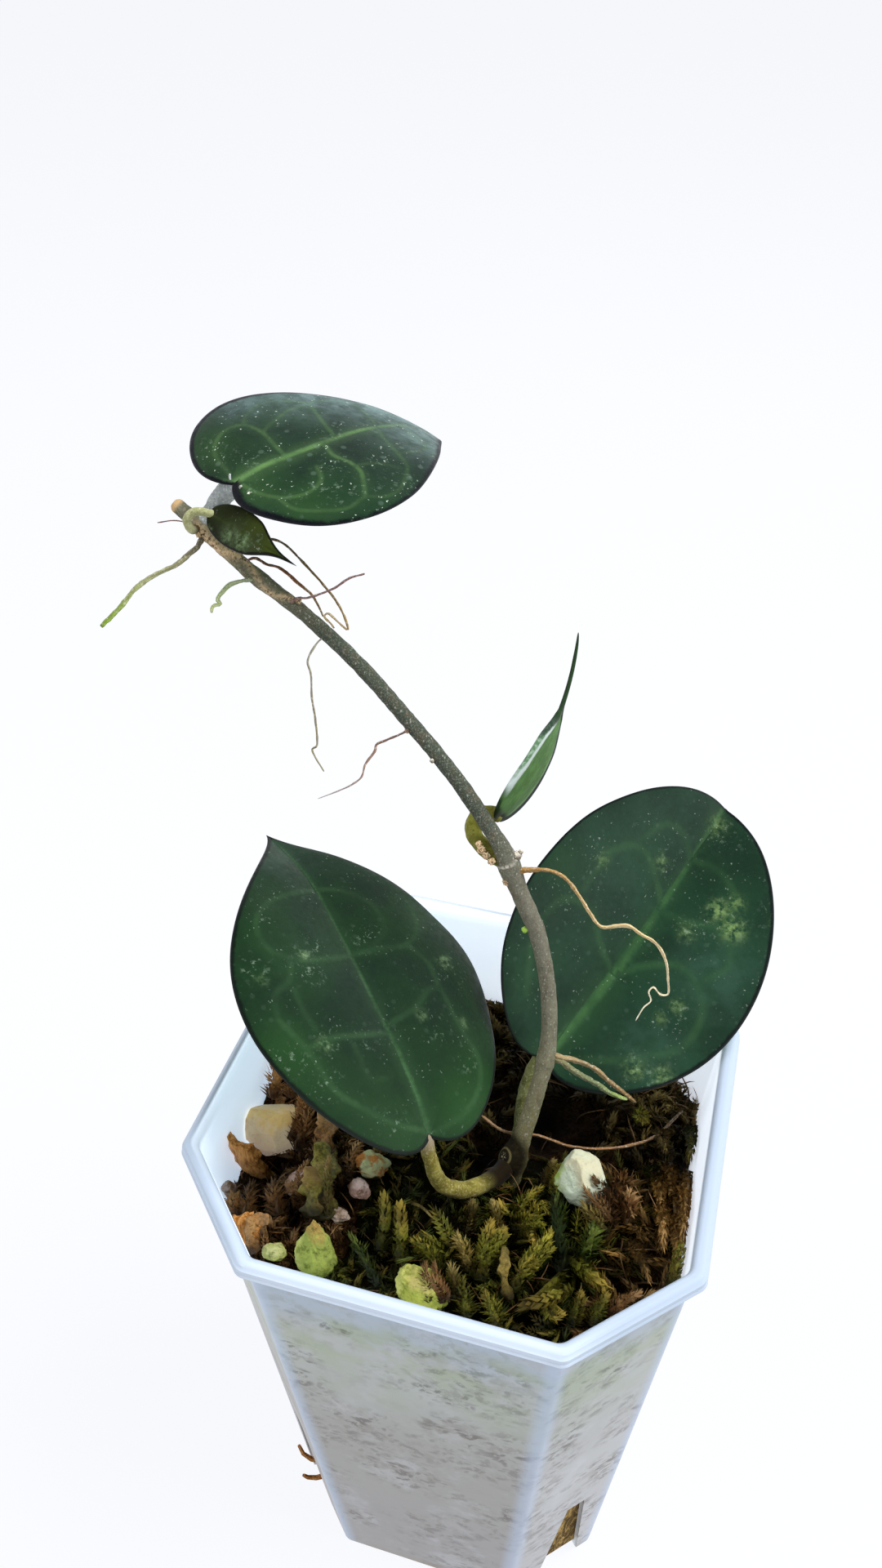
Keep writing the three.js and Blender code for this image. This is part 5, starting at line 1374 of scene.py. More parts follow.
def blade(bm, leaf, rows, columns):
    """A closed blade: one grid wrapped round both faces, with a soft rounded margin."""
    axes = blade_axes(leaf)
    widest = widest_of(leaf)
    layers = {key: layer(bm, key) for key in ("flat_x", "flat_y", "under", "on_blade", "across")}

    def place(turn, share, vert):
        row = round(share * rows)
        column = round(turn * 2 * columns) % (2 * columns)
        under = column > columns
        across = 2 * (column if not under else 2 * columns - column) / columns - 1
        across = mix(across, math.sin(across * math.pi / 2), 0.45)
        reach = abs(across)
        edge_x, edge_width = blade_outline(leaf, math.pi * row / rows, math.copysign(1, across))
        mid_x = leaf["length"] * (row / rows) ** ROW_SPACING_POWER
        x = mix(mid_x, edge_x, reach ** ROW_SWEEP_POWER)
        y = across * (1 + math.copysign(leaf["lean"], across)) * leaf["width"] / 2 * edge_width / widest
        if row in (0, rows):
            x, y = mid_x, 0
        vert[layers["flat_x"]] = x
        vert[layers["flat_y"]] = y
        vert[layers["under"]] = 1.0 if under else 0.0
        vert[layers["on_blade"]] = 1.0
        vert[layers["across"]] = across
        spot = blade_point(leaf, axes, x, y)
        if row in (0, rows):
            return spot
        along = blade_point(leaf, axes, x + SLOPE_STEP, y) - blade_point(leaf, axes, x - SLOPE_STEP, y)
        over = blade_point(leaf, axes, x, y + SLOPE_STEP) - blade_point(leaf, axes, x, y - SLOPE_STEP)
        normal = along.cross(over).normalized()
        end_round = min(1, math.sin(math.pi * row / rows) * 2.5) ** 0.5
        thick = mix(BLADE_MID_THICKNESS, BLADE_EDGE_THICKNESS, reach)
        thick = thick * max(1 - reach ** 14, 0) ** 0.5 * end_round
        thick *= min(1, 0.4 + 3 * edge_width / widest)
        ripple = noise.noise(Vector((x, y, leaf["length"])) * 0.09) * 0.5 * reach
        return spot + normal * (ripple + (-thick / 2 if under else thick / 2))

    return wrapped_grid(bm, 2 * columns, rows, place)


def make_leaf(name, rows, columns, finishes):
    """A blade with its stalk, as one piece with a finish for each."""
    leaf = LEAVES[name]
    bm = bmesh.new()
    blade(bm, leaf, rows, columns)
    blade_faces = len(bm.faces)
    radius = leaf["stalk_radius"]

    def skin(middle, out, share):
        return radius * (mix(1, leaf["stalk_taper"], share) + 0.09 * noise.fractal((middle + out) * 0.5, 0.7,
                                                                                   2.0, 3))

    tube(bm, leaf["stalk"], skin, STALK_SIDES, STALK_RINGS)
    bm.faces.ensure_lookup_table()
    for face in bm.faces[blade_faces:]:
        face.material_index = 1
    piece = finished(bm, name + "_blade", finishes, name)
    mark_leaf(piece.data, leaf)


def mark_leaf(mesh, leaf):
    """Writes what the leaf's finish reads: veins, margin distance, blotches, bloom with painted sheen, and
    dust.
    """
    count = len(mesh.vertices)

    def read(key):
        values = np.zeros(count, np.float32)
        mesh.attributes[key].data.foreach_get("value", values)
        return values

    def write(key, values):
        attribute = mesh.attributes.get(key) or mesh.attributes.new(key, "FLOAT", "POINT")
        attribute.data.foreach_set("value", np.asarray(values, np.float32))

    def blots(spots):
        """Soft round spots, each with its place, radius and strength."""
        total = np.zeros(count)
        for x, y, radius, strength in spots:
            spot = np.array([x * leaf["length"], y * leaf["width"] / 2])
            total = np.maximum(total, strength * np.exp(-((places - spot) ** 2).sum(1) / radius ** 2))
        return total * on_blade

    places = np.stack([read("flat_x"), read("flat_y")], 1)
    on_blade = read("on_blade")
    widest = widest_of(leaf)
    margin = np.full(count, FAR)
    for side in (-1, 1):
        for step in range(MARGIN_STEPS + 1):
            x, width = blade_outline(leaf, math.pi * step / MARGIN_STEPS, side)
            spot = np.array([x, side * width / widest * leaf["width"] / 2 * (1 + side * leaf["lean"])])
            margin = np.minimum(margin, np.hypot(*(places - spot).T))
    narrow = np.where(places[:, 1] > 0, leaf["margins"][0], leaf["margins"][1])
    away, bold = veins_of(leaf, places)
    write("vein", away)
    write("vein_weight", bold * on_blade)
    write("margin", np.where(on_blade > 0.5, margin / narrow, FAR))
    write("dust", blots([(x, y, DUST_RADIUS, 1.0) for x, y in leaf["dust"]]))
    for key in ("splash", "bloom_and_sheen", "glow"):
        write(key, blots(leaf[key]))


# Vine and roots


def vine_radius(height):
    """The vine's radius at a height, without its swellings."""
    for (low, below), (high, above) in zip(STEM_RADII, STEM_RADII[1:]):
        if height <= high:
            return mix(below, above, max(height - low, 0) / (high - low))
    return STEM_RADII[-1][1]


def scar_strength(spot, lines):
    """How crusty the bark is at a spot, from 0 to 1."""
    strength = 0
    for line, width in lines:
        nearest = min((spot - point).length for point in line)
        strength = max(strength, math.exp(-(nearest / width) ** 2))
    return strength


def add_knob(bm, marks, middle, radius, kind):
    """A crusty, pale or green knob on the vine."""
    lumpy = 0.7 if kind == "crust" else 0.25
    for vert in bmesh.ops.create_icosphere(bm, subdivisions=4, radius=radius)["verts"]:
        shape = vert.co * (1 + lumpy * noise.fractal(vert.co * 2.4 + middle, 0.8, 2.0, 3))
        if kind == "bud":
            shape.z *= 1.35
        vert.co = shape + middle
        vert[marks["ring"]] = FAR
        vert[marks["scar"]] = 0.9 if kind == "crust" else 0.3
        vert[marks["bud"]] = 1.0 if kind == "bud" else 0.0
        vert[marks["pale"]] = max(shape.normalized().z, 0) if kind == "pale" else 0.0


def make_vine():
    """The vine with its swellings, crusts, knobs and the marks of its fallen leaves."""
    bm = bmesh.new()
    marks = {key: layer(bm, key) for key in ("scar", "pale", "bud", "ring")}
    lines = [(smooth_curve(points, 24), width) for points, width in SCARS]
    swellings = [(Vector(place), more, reach) for place, more, reach in JOINTS]
    fold = Vector(LEAF_RING)
    fold_axis = (Vector(STEM_POINTS[15]) - Vector(STEM_POINTS[12])).normalized()
    ring_place = Vector(RING_SCAR)

    def fold_strength(spot):
        off = spot - fold
        return math.exp(-(off.dot(fold_axis) / LEAF_RING_WIDTH) ** 2) if off.length < LEAF_RING_REACH else 0

    def skin(middle, out, share):
        radius = vine_radius(middle.z)
        spot = middle + out * radius
        swell = sum(more * math.exp(-((middle - place).length / reach) ** 2) for place, more,
                    reach in swellings)
        rough = 0.1 * noise.fractal(spot * 0.6, 0.8, 2.0, 4)
        crust = scar_strength(spot, lines) * (0.15 + 0.45 * abs(noise.fractal(spot * 1.7, 0.8, 2.0, 3)))
        return radius + swell + rough + crust + 0.14 * fold_strength(spot)

    tube(bm, STEM_POINTS, skin, STEM_SIDES, STEM_RINGS)
    for vert in bm.verts:
        vert[marks["scar"]] = scar_strength(vert.co, lines)
        vert[marks["pale"]] = 0.75 * fold_strength(vert.co)
        vert[marks["ring"]] = (vert.co - ring_place).length
    for place, radius, kind in KNOBS:
        add_knob(bm, marks, Vector(place), radius, kind)
    finished(bm, "vine", [vine_finish()], "vine_stem")


def make_root(name, points, radii, finish, node):
    """A thin, slightly knobbly root."""
    bm = bmesh.new()
    length = sum((Vector(b) - Vector(a)).length for a, b in zip(points, points[1:]))

    def skin(middle, out, share):
        radius = between(radii, share)
        knob = noise.fractal((middle + out * radius) * 0.8, 0.6, 2.0, 3)
        return radius * (1 + 0.34 * knob)

    tube(bm, points, skin, ROOT_SIDES, round(length * ROOT_RINGS_PER_MM))
    finished(bm, name, [finish], node)


# Moss


def moss_height(x, y):
    """The height of the moss at a place, blended from the drops that are known."""
    weights = [1 / ((x - px) ** 2 + (y - py) ** 2 + DROP_BLUR) ** 1.5 for px, py, _ in MOSS_DROPS]
    return POT_HEIGHT - sum(w * drop for w, (_, _, drop) in zip(weights, MOSS_DROPS)) / sum(weights)


def shade_at(x, y):
    """How deep in shade a place on the moss lies, from 0 to 1."""
    return max(math.exp(-((x - hx) ** 2 + (y - hy) ** 2) / reach ** 2) for hx, hy, reach in HOLLOWS)


def ground_height(x, y):
    """The height of the rough dead moss between the shoots."""
    rough = noise.fractal(Vector((x, y, 3)) * 0.22, 0.8, 2.0, 5)
    return moss_height(x, y) - GROUND_BELOW + GROUND_ROUGHNESS * rough - HOLLOW_DEPTH * shade_at(x, y)


def ground_patch(bm, left, right, front, back):
    """Dead moss between four edges and the wall, closed underneath."""
    patch = bmesh.new()
    columns, rows = round((right - left) / GROUND_CELL), round((back - front) / GROUND_CELL)
    bmesh.ops.create_grid(patch, x_segments=columns, y_segments=rows, size=1)
    for vert in patch.verts:
        x = mix(left, right, (vert.co.x + 1) / 2)
        y = mix(front, back, (vert.co.y + 1) / 2)
        vert.co = Vector((x, y, ground_height(x, y)))
    for point, normal in wall_planes(WALL + GAP + BED_CLEARANCE):
        everything = patch.verts[:] + patch.edges[:] + patch.faces[:]
        bmesh.ops.bisect_plane(patch, geom=everything, dist=0.001, plane_co=point, plane_no=normal,
                               clear_outer=True)
    rim = [e for e in patch.edges if e.is_boundary]
    made = bmesh.ops.extrude_edge_only(patch, edges=rim)
    lower = new_parts(made, bmesh.types.BMVert)
    for vert in lower:
        vert.co = Vector((vert.co.x * 0.98, vert.co.y * 0.98, vert.co.z - GROUND_THICKNESS))
    bottom = [e for e in new_parts(made, bmesh.types.BMEdge) if all(v in lower for v in e.verts)]
    bmesh.ops.contextual_create(patch, geom=bottom)
    shade = layer(patch, "shade")
    for vert in patch.verts:
        vert[shade] = shade_at(vert.co.x, vert.co.y)
    for face in patch.faces:
        face.smooth = True
    mesh = new_mesh(patch, "patch")
    bm.from_mesh(mesh)
    bpy.data.meshes.remove(mesh)


def kite(bm, base, left, tip, right):
    """One pointed moss leaf."""
    bm.faces.new([bm.verts.new(spot) for spot in (base, right, tip, left)])


def around(radius, angle, height):
    """A spot at an angle round the upright axis."""
    return Vector((radius * math.cos(angle), radius * math.sin(angle), height))


def catkin(rings, scales, openness, blunt=0.95):
    """A pointed shoot of overlapping, uneven scale leaves, one unit high and about one unit in radius."""
    bm = bmesh.new()
    bmesh.ops.create_cone(bm, cap_ends=True, segments=6, radius1=0.62, radius2=0.1, depth=0.96,
                          matrix=Matrix.Translation((0, 0, 0.48)))
    for ring in range(rings):
        share = ring / (rings - 1)
        body = math.sqrt(max(1 - share ** 2 * blunt, 0.03))
        for scale in range(scales):
            uneven = noise.noise_vector(Vector((ring * 1.7, scale * 2.3, rings)))
            angle = 2 * math.pi * (scale + 0.5 * (ring % 2)) / scales + 0.9 * uneven.x
            wide = math.pi / scales * mix(1.05, 0.6, openness) * (1 + 0.6 * uneven.y)
            length = 1.9 / rings * (1 + 1.3 * uneven.z)
            foot = share * 0.9
            middle = mix(0.86, 0.8, openness) * body
            out = (1.0 + openness * (0.5 + 1.2 * uneven.y)) * body
            kite(bm, around(0.5 * body, angle, foot), around(middle, angle + wide, foot + length * 0.45),
                 around(out, angle + 0.5 * uneven.z, foot + length),
                 around(middle, angle - wide, foot + length * 0.45))
    return new_mesh(bm, "catkin")


def feather(pairs):
    """A flat shoot with leaves in two rows, as in fern moss."""
    bm = bmesh.new()
    bmesh.ops.create_cone(bm, cap_ends=True, segments=5, radius1=0.12, radius2=0.04, depth=1,
                          matrix=Matrix.Translation((0, 0, 0.5)))
    for pair in range(pairs):
        share = pair / (pairs - 1)
        reach = math.sin(math.pi * mix(0.3, 0.92, share))
        for side in (-1, 1):
            foot = mix(0.08, 0.94, share)
            kite(bm, Vector((0, 0, foot)), Vector((side * 0.4 * reach, 0.12, foot + 0.15)),
                 Vector((side * reach, 0.25, foot + 0.2)), Vector((side * 0.5 * reach, 0.1, foot + 0.02)))
    return new_mesh(bm, "feather")


def rosette(tiers, leaves, spread):
    """A star of narrow leaves round a short stem, as seen at the top of a leafy moss shoot."""
    bm = bmesh.new()
    bmesh.ops.create_cone(bm, cap_ends=True, segments=5, radius1=0.16, radius2=0.06, depth=1,
                          matrix=Matrix.Translation((0, 0, 0.5)))
    for tier in range(tiers):
        share = tier / max(tiers - 1, 1)
        lift = mix(0.1, 0.95, share)
        reach = mix(1.0, 0.5, share) * spread
        for leaf in range(leaves):
            angle = 2 * math.pi * (leaf + 0.5 * (tier % 2)) / leaves + tier * 0.4
            wide = 0.36
            kite(bm, around(0.05, angle, lift), around(reach * 0.5, angle + wide, lift + 0.16),
                 around(reach, angle, lift + mix(0.12, 0.5, share)),
                 around(reach * 0.5, angle - wide, lift + 0.16))
    return new_mesh(bm, "rosette")


def fibre():
    """A thin dry strand."""
    bm = bmesh.new()
    wrapped_grid(bm, 3, 7, lambda turn, share, vert: around(
        0.0 if share in (0, 1) else mix(1, 0.5, share), 2 * math.pi * turn, share))
    return new_mesh(bm, "fibre")


def ribbon(seed):
    """A thin, uneven and twisted strip."""
    bm = bmesh.new()

    def place(turn, share, vert):
        if share in (0, 1):
            return Vector((0, 0, share))
        angle = 2 * math.pi * turn
        wide = 0.8 + 0.6 * noise.noise(Vector((share * 4.3, seed, 0)))
        rough = 1 + 0.6 * noise.noise(Vector((math.cos(angle) * 2.2, share * 9, seed + math.sin(angle))))
        flat = Vector((wide * rough * math.cos(angle), 0.22 * wide * rough * math.sin(angle), share))
        return Matrix.Rotation(1.6 * share + 0.8 * noise.noise(Vector((share * 4, seed, 5))), 3, "Z") @ flat

    wrapped_grid(bm, 16, 34, place)
    for face in bm.faces:
        face.smooth = True
    return new_mesh(bm, "ribbon")


class Mat:
    """One mat of moss: its ground and its shoots in one mesh. Its first finish is the ground's."""

    def __init__(self, seed, finishes):
        self.bm = bmesh.new()
        self.random = random.Random(seed)
        self.finishes = list(finishes.values())
        self.numbers = {name: number for number, name in enumerate(finishes)}
        self.along, self.tint, self.dry, self.shade = (
            layer(self.bm, key) for key in ("along", "tint", "dry", "shade"))

    def crumb(self, middle, radii, finish):
        """A rough fragment of stone."""
        for vert in bmesh.ops.create_icosphere(self.bm, subdivisions=4, radius=1)["verts"]:
            swell = 1 + 0.3 * noise.fractal(vert.co * 1.3 + Vector(middle), 0.8, 2.0, 4)
            sized = Vector([part * radius for part, radius in zip(vert.co, radii)])
            vert.co = Vector(middle) + sized * swell
            for face in vert.link_faces:
                face.material_index = self.numbers[finish]
                face.smooth = True

    def grow(self, unit, points, radius, finish, tint, dry, steps, gloom=0.0):
        """Copies a unit shoot and bends it along a smooth curve through the points. It gets painted shade
        where it lies deep among the others or in a hollow, and no less than gloom."""
        path = smooth_curve(points, steps)
        # Painted shade: from depth below the moss's surface, from the hollows, and at least the given gloom.
        shades = []
        for spot in path:
            buried = min(max((moss_height(spot.x, spot.y) - 0.3 - spot.z) / 2.4, 0), 0.85)
            shades.append(max(0.9 * shade_at(spot.x, spot.y), gloom, buried))
        frames = curve_frames(path)
        verts_before, faces_before = len(self.bm.verts), len(self.bm.faces)
        self.bm.from_mesh(unit)
        self.bm.verts.ensure_lookup_table()
        self.bm.faces.ensure_lookup_table()
        for vert in self.bm.verts[verts_before:]:
            x, y, z = vert.co
            share = min(max(z, 0), 1)
            step = min(int(share * steps), steps - 1)
            part = share * steps - step
            middle = path[step].lerp(path[step + 1], part)
            side = frames[step][0].lerp(frames[step + 1][0], part)
            other = frames[step][1].lerp(frames[step + 1][1], part)
            beyond = (path[-1] - path[-2]) * ((z - share) * steps)
            vert.co = kept_inside(middle + side * (x * radius) + other * (y * radius) + beyond, TOUCH)
            vert[self.along] = z
            vert[self.tint] = tint
            vert[self.dry] = dry
            vert[self.shade] = mix(shades[step], shades[step + 1], part)
        for face in self.bm.faces[faces_before:]:
            face.material_index = self.numbers[finish]


def is_free(x, y, margin):
    """Whether a spot on the moss is clear of the lumps, the stalks and the vine."""
    for (lump_x, lump_y, *_), (half_x, half_y, *_), _ in LUMPS.values():
        if math.hypot((x - lump_x) / (half_x + margin), (y - lump_y) / (half_y + margin)) < 1:
            return False
    return math.hypot(x - STEM_FOOT[0], y - STEM_FOOT[1]) > STEM_CLEARANCE + margin


def scatter(mat, area, count, units, finish, length, radius, upright, tints, gloom=(0, 0)):
    """Seeded shoots over a stretch of the moss, each with its own heading, length and lean. Where two values
    are given, each shoot lies between them."""
    left, right, front, back = area
    placed = 0
    while placed < count:
        x, y = mat.random.uniform(left, right), mat.random.uniform(front, back)
        heading = mat.random.uniform(0, 2 * math.pi)
        long = mat.random.uniform(*length)
        rise = mat.random.uniform(*upright)
        thick = mat.random.uniform(*radius)
        tint = mat.random.uniform(*tints)
        unit = mat.random.choice(units)
        spot = Vector((x, y, ground_height(x, y)))
        inside = all(normal.dot(spot - point) < -thick for point, normal in INNER_PLANES)
        if not inside or not is_free(x, y, thick * 0.3) or mat.random.random() < shade_at(x, y) * 0.97:
            continue
        placed += 1
        ahead = Vector((math.cos(heading), math.sin(heading), 0))
        bend = mat.random.uniform(-0.35, 0.35)
        aside = Vector((-ahead.y, ahead.x, 0)) * bend * long
        points = [spot - Vector((0, 0, ROOTED)),
                  spot + ahead * long * 0.3 * (1 - rise) + Vector((0, 0, long * rise * 0.5)),
                  spot + ahead * long * 0.75 * (1 - rise * 0.5) + aside * 0.5 + Vector((0, 0,
                                                                                        long * rise * 0.8)),
                  spot + ahead * long * (1 - rise * 0.4) + aside + Vector((0, 0, long * rise * 0.85))]
        dry = mat.random.random() ** 2
        bent = [kept_inside(p, thick * 0.7) for p in points]
        mat.grow(unit, bent, thick, finish, tint, dry, 8, mat.random.uniform(*gloom))


def place_shoots(mat, units, shoots):
    """The shoots that stand out, each from its root to its tip along places on the moss."""
    for kind, finish, tint, dry, thick, places in shoots:
        last = len(places) - 1
        points = []
        for step, (x, y, *lift) in enumerate(places):
            above = lift[0] if lift else mix(-0.6, 2.4, min(step / last * 1.8, 1))
            points.append(Vector((x, y, moss_height(x, y) + above)))
        mat.grow(units[kind], [kept_inside(p, thick * 0.8) for p in points], thick, finish, tint, dry, 12)


def shoots_of_moss():
    """The shapes that are strewn, by kind, and the finer ones of the shoots that stand out."""
    strewn = {
        "scaly": [catkin(8, 5, 0.1), catkin(9, 5, 0.2), catkin(7, 6, 0.05)],
        "leafy": [catkin(9, 6, 0.5), catkin(10, 5, 0.4), catkin(8, 6, 0.7)],
        "star": [rosette(4, 6, 1.0), rosette(5, 7, 0.9)],
        "feather": [feather(8), feather(7)],
        "strand": [fibre()],
    }
    placed = {
        "scaly": catkin(13, 6, 0.05, 0.6), "leafy": catkin(19, 8, 0.45), "open": catkin(13, 7, 0.8),
        "star": strewn["star"][0], "feather": strewn["feather"][0], "strand": strewn["strand"][0],
        "ribbon": ribbon(4.0),
    }
    return strewn, placed


def green_mat(strewn, placed, looks):
    """The green moss in front of the vine."""
    mat = Mat(SEED, {
        "ground": ground_finish("dead_moss_under_green", "060602", "1f1d0c"), "green": looks["green"],
        "fine": looks["fine"], "brown": looks["brown"],
        "ochre": moss_finish("ochre_moss", "120e05", "3f3612", "857234", "9a8850")})
    area = (MAT_LEFT, MAT_RIGHT, -MAT_REACH, MAT_BACK)
    ground_patch(mat.bm, *area)
    scaly_or_leafy = strewn["scaly"] + strewn["leafy"]
    scatter(mat, area, 170, strewn["star"], "fine", (2, 3.6), (0.8, 1.6), (0.3, 0.8), (0.0, 0.8), (0.2, 0.7))
    scatter(mat, area, 210, scaly_or_leafy, "green", (2.5, 5), (0.5, 1.0), (0.15, 0.5), (0.0, 0.7),
            (0.2, 0.6))
    scatter(mat, area, 40, strewn["feather"], "green", (3, 5.5), (0.9, 1.5), (0.15, 0.5), (0.0, 0.6),
            (0.2, 0.5))
    scatter(mat, area, 60, strewn["strand"], "brown", (4, 8), (0.1, 0.2), (0.2, 0.7), (0.1, 0.6), (0.1, 0.5))
    place_shoots(mat, placed, GREEN_SHOOTS)
    finished(mat.bm, "moss_green_shoots", mat.finishes, "moss_green", None)


def olive_mat(strewn, placed, looks):
    """The olive moss at the right, from the front to the back."""
    mat = Mat(SEED + 1, {"ground": looks["ground"],
                         "olive": moss_finish("olive_moss", "140e05", "4a3612", "a1793a", "a8834e"),
                         "fine": looks["fine"], "brown": looks["brown"], "shaded": looks["shaded"],
                         "green": looks["green"]})
    left, front_edge, middle, back_edge = MAT_RIGHT + GAP, -40, 4, 38
    area = (left, MAT_REACH, front_edge, back_edge)
    front, behind = (left, MAT_REACH, front_edge, middle), (left, MAT_REACH, middle, back_edge)
    ground_patch(mat.bm, *area)
    scaly_or_leafy = strewn["scaly"] + strewn["leafy"]
    scatter(mat, front, 110, scaly_or_leafy, "olive", (3, 6), (0.6, 1.2), (0.2, 0.7), (0.0, 0.7), (0.1, 0.5))
    scatter(mat, front, 50, strewn["star"], "green", (2.5, 4.5), (1.0, 1.8), (0.3, 0.8), (0.0, 0.6),
            (0.2, 0.6))
    scatter(mat, behind, 150, strewn["leafy"], "shaded", (3, 5), (0.6, 1.2), (0.2, 0.7), (0.0, 1.0),
            (0.0, 0.4))
    scatter(mat, area, 60, strewn["strand"], "brown", (4, 9), (0.12, 0.25), (0.2, 0.8), (0.1, 0.6),
            (0.1, 0.5))
    place_shoots(mat, placed, RIGHT_SHOOTS)
    finished(mat.bm, "moss_olive_shoots", mat.finishes, "moss_olive", None)


def brown_mat(strewn, placed, looks):
    """The brown moss at the left and behind the vine, with the fragments of stone in it."""
    mat = Mat(SEED + 2, {
        "ground": looks["ground"], "brown": looks["brown"],
        "stalks": moss_finish("olive_stalks", "1a180c", "54491c", "938a3e", "b08a58"),
        "shaded": looks["shaded"],
        "greenish": crumb_finish("greenish_crumb", "a9b084", "a8703a"),
        "pinkish": crumb_finish("pinkish_crumb", "9c8a7c", "6a523e")})
    right, middle = MAT_LEFT - GAP, 8
    near, far = (-MAT_REACH, right, -MAT_REACH, middle), (-MAT_REACH, right, middle, MAT_REACH)
    behind = (right, MAT_RIGHT, MAT_BACK + GAP, MAT_REACH)
    ground_patch(mat.bm, -MAT_REACH, right, -MAT_REACH, MAT_REACH)
    ground_patch(mat.bm, *behind)
    leafy, strand = strewn["leafy"], strewn["strand"]
    scatter(mat, near, 380, leafy, "brown", (2, 3.8), (0.5, 1.1), (0.2, 0.7), (0.0, 1.0), (0.0, 0.2))
    scatter(mat, near, 60, strewn["feather"], "brown", (2.5, 4.5), (0.6, 1.1), (0.2, 0.6), (0.2, 1.0),
            (0.0, 0.2))
    scatter(mat, near, 220, strand, "brown", (2, 6), (0.1, 0.25), (0.1, 0.7), (0.3, 1.0))
    scatter(mat, far, 90, leafy, "brown", (4, 7), (1.2, 2.0), (0.2, 0.7), (0.0, 0.8), (0.0, 0.4))
    scatter(mat, behind, 110, leafy, "shaded", (4, 7), (1.1, 1.9), (0.2, 0.6), (0.0, 0.8), (0.2, 0.6))
    scatter(mat, behind, 60, strand, "brown", (4, 9), (0.12, 0.3), (0.1, 0.7), (0.2, 0.8), (0.2, 0.6))
    place_shoots(mat, placed, LEFT_SHOOTS)
    for crumb in CRUMBS:
        mat.crumb(*crumb)
    finished(mat.bm, "moss_brown_shoots", mat.finishes, "moss_brown", None)


def make_moss():
    """The three mats, with the looks that two or more of them share."""
    strewn, placed = shoots_of_moss()
    looks = {
        "ground": ground_finish("dead_moss", "1a1008", "5f4122"),
        "green": moss_finish("green_moss", "090b03", "303410", "94922f", "9a8236"),
        "brown": moss_finish("brown_moss", "1c1108", "52361a", "94693a", "a8865a", seeping=0.35),
        "fine": moss_finish("fine_green_moss", "070a03", "1a240b", "4c5c1a", "76803a"),
        "shaded": moss_finish("shaded_moss", "120e06", "3a3016", "7c6430", "967f42"),
    }
    for make_mat in (green_mat, olive_mat, brown_mat):
        make_mat(strewn, placed, looks)


# Lumps and flakes


def make_lump(name, middle, half, turn):
    """A lump of pumice: a ball cut by seeded facets, roughened and narrowed towards its top."""
    bm = bmesh.new()
    bmesh.ops.create_icosphere(bm, subdivisions=6, radius=1)
    chooser = random.Random(name)
    facets = [(Vector([chooser.gauss(0, 1) for _ in range(3)]).normalized(), chooser.uniform(0.72, 0.93))
              for _ in range(LUMP_FACETS)]
    turned = Matrix.Rotation(math.radians(turn), 3, "Z")
    taper = LUMP_TAPERS.get(name, 0.1)
    rough = LUMP_ROUGHNESS * (ROUGHER if name in ROUGH_LUMPS else 1)
    for vert in bm.verts:
        p = vert.co.copy()
        for out, reach in facets:
            p -= out * max(p.dot(out) - reach, 0) * 0.9
        seedling = p * 1.4 + Vector(middle)
        swell = 1.06 + rough * noise.fractal(seedling * 1.1, 0.8, 2.0, 6)
        narrow = 1 - taper * p.z
        spot = Vector((p.x * half[0] * narrow, p.y * half[1] * narrow, p.z * half[2])) * swell
        vert.co = kept_inside(turned @ spot + Vector(middle), TOUCH)
    finish = pumice_finish(name, middle, half, *LUMP_COLOURS[name])
    finished(bm, name + "_stone", [finish], name)


def make_flake(name, middle, size, turn, lean, finish):
    """A flake of bark: a thin bent board with ragged edges."""
    bm = bmesh.new()
    bmesh.ops.create_cube(bm, size=1)
    bmesh.ops.scale(bm, verts=bm.verts[:], vec=size)
    bmesh.ops.subdivide_edges(bm, edges=bm.edges[:], cuts=15, use_grid_fill=True)
    turned = Matrix.Rotation(math.radians(turn), 3, "Z") @ Matrix.Rotation(math.radians(lean), 3, "X")
    for vert in bm.verts:
        x, y, z = vert.co
        narrow = 1 - 0.35 * max(0, z / size[2]) - 0.15 * math.sin(z * 1.3)
        ragged = noise.fractal(vert.co * 0.45 + Vector(middle), 0.9, 2.0, 3)
        bent = Vector((x * narrow + 0.3 * ragged, y + 0.09 * x * x + 0.012 * z * z + 0.25 * ragged,
                       z + 0.12 * x * math.sin(x) + 0.5 * ragged))
        vert.co = kept_inside(turned @ bent + Vector(middle), TOUCH)
    finished(bm, name + "_fibres", [finish], name)


# Stage


def camera():
    """The camera that the photograph was taken from."""
    data = bpy.data.cameras.new("camera")
    data.lens = CAMERA_LENS
    data.sensor_width = SENSOR
    data.clip_start = 0.01
    viewer = new_object("camera", data)
    turned = (Matrix.Rotation(math.radians(CAMERA_AZIMUTH), 4, "Z")
              @ Matrix.Rotation(math.radians(90 - CAMERA_ELEVATION), 4, "X")
              @ Matrix.Rotation(math.radians(CAMERA_ROLL), 4, "Z"))
    viewer.matrix_world = Matrix.Translation(Vector(CAMERA_PLACE) * MM) @ turned
    bpy.context.scene.camera = viewer


def area_light(name, place, aim, size, power, colour):
    data = bpy.data.lights.new(name, "AREA")
    data.size = size
    data.energy = power
    data.color = linear(colour)[:3]
    lamp = new_object(name, data)
    lamp.location = place
    lamp.visible_glossy = False
    lamp.rotation_euler = (Vector(aim) - Vector(place)).to_track_quat("-Z", "Y").to_euler()


def sky():
    """A sky that is bright near the horizon and grey above."""
    world = bpy.data.worlds.new("studio")
    bpy.context.scene.world = world
    world.use_nodes = True
    nodes, links = world.node_tree.nodes, world.node_tree.links
    direction = nodes.new("ShaderNodeTexCoord")
    height = nodes.new("ShaderNodeSeparateXYZ")
    fade = nodes.new("ShaderNodeValToRGB")
    for element, (position, colour) in zip(fade.color_ramp.elements, SKY_COLOURS):
        element.position = position
        element.color = linear(colour)
    links.new(direction.outputs["Generated"], height.inputs[0])
    links.new(height.outputs["Z"], fade.inputs[0])
    links.new(fade.outputs[0], nodes["Background"].inputs["Color"])
    nodes["Background"].inputs["Strength"].default_value = SKY_STRENGTH


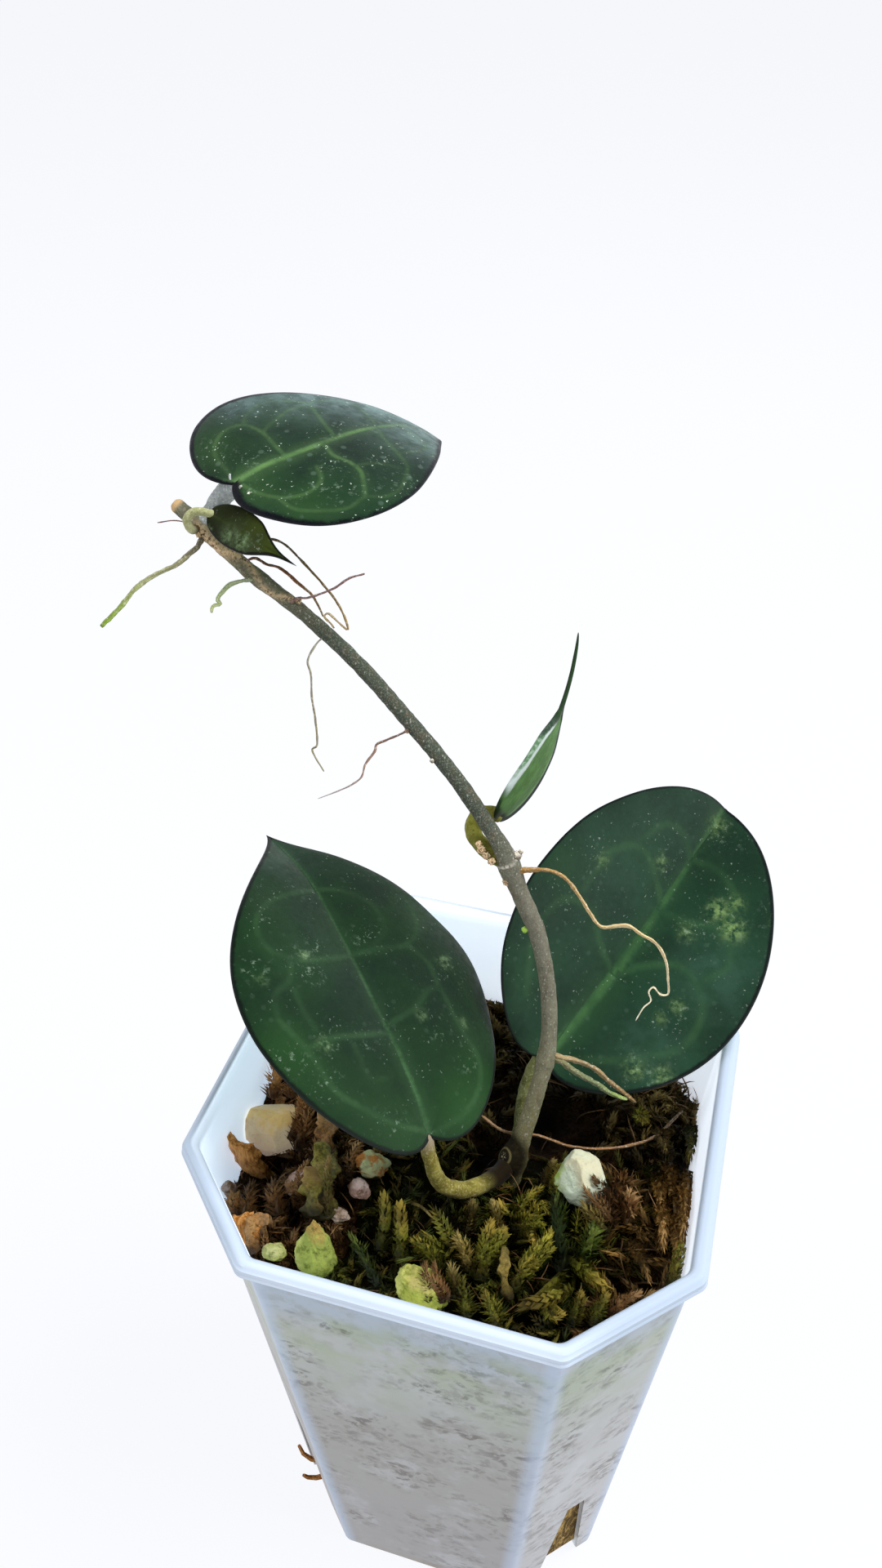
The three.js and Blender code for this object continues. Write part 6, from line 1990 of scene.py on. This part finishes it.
def table():
    """The bright white surface under the pot."""
    bm = bmesh.new()
    bmesh.ops.create_grid(bm, x_segments=1, y_segments=1, size=TABLE_HALF_WIDTH)
    mesh = new_mesh(bm, "floor")
    finish = Finish("pale_floor", Roughness=0.8, Specular_IOR_Level=0.0)
    finish.feed_shader(Base_Color=finish.mix(finish.noise(0.01, 2), "4a4b4c", "4c4d4e"))
    finish.glow("fafbff", TABLE_GLOW)
    mesh.materials.append(finish.material)
    new_object("floor", mesh)


camera()
sky()
for light_name, light_facts in LIGHTS.items():
    area_light(light_name, *light_facts)
table()
bpy.context.scene.view_settings.view_transform = "Standard"
make_pot()
make_leaf("leaf_lower_left", 180, 110, [
    leaf_finish("blade_lower_left", "102416", "173317", "26501c", "3b5c38", "3c5647", "0a140d"),
    stalk_finish("stalk_olive", "655c22", "8e8640", "b8ad7a", "8d7f6a", "1c150a")])
make_leaf("leaf_lower_right", 170, 100, [
    leaf_finish("blade_lower_right", "132a1b", "1b3a26", "254e28", "3d6238", "4a6a5c", "0a130f", 0.2,
                "86a45f"),
    stalk_finish("stalk_shaded", "4f5224", "75774a", "9a9a78")])
make_leaf("leaf_top", 150, 100, [
    leaf_finish("blade_top", "13241a", "1e3822", "2f5420", "5c8049", "97b5b5", "05070d", 0.6, "f2f4e4",
                flaky=True),
    stalk_finish("stalk_grey", "8d9393", "b3b8b8", "d9dcda")])
make_leaf("leaf_young_top", 110, 60, [
    leaf_finish("blade_young", "0d1002", "1b2105", "424e10", "2c380e", "56624a", "090c05", 0.1, gloss=0.12),
    stalk_finish("stalk_cream", "97996a", "b9b98e", "c9c8a2", None, "4c3c24")])
make_leaf("leaf_middle", 130, 60, [
    underside_finish(),
    stalk_finish("stalk_middle", "6b6c26", "86863a", "5a4a1c")])
make_vine()
ROOT_FINISHES = {name: root_finish(name, *colours) for name, colours in ROOT_COLOURS.items()}
for root_name, (root_points, root_radii, root_look) in ROOTS.items():
    root_finished = ROOT_FINISHES[root_look]
    make_root(root_name + "_skin", root_points, root_radii, root_finished, root_name)
creeping_points = [(x, y, moss_height(x, y) + CREEPING_ROOT_HEIGHT) for x, y in CREEPING_ROOT]
make_root("creeping_root_skin", creeping_points, (CREEPING_ROOT_RADIUS, CREEPING_ROOT_RADIUS),
          ROOT_FINISHES["creeping_root"], "creeping_root")
for lump_name, (lump_middle, lump_half, lump_turn) in LUMPS.items():
    make_lump(lump_name, lump_middle, lump_half, lump_turn)
bark = bark_finish()
for flake_name, flake_facts in FLAKES.items():
    make_flake(flake_name, *flake_facts, bark)
make_moss()
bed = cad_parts["moss_bed"]
bed.data.materials.clear()
bed.data.materials.append(bed_finish())
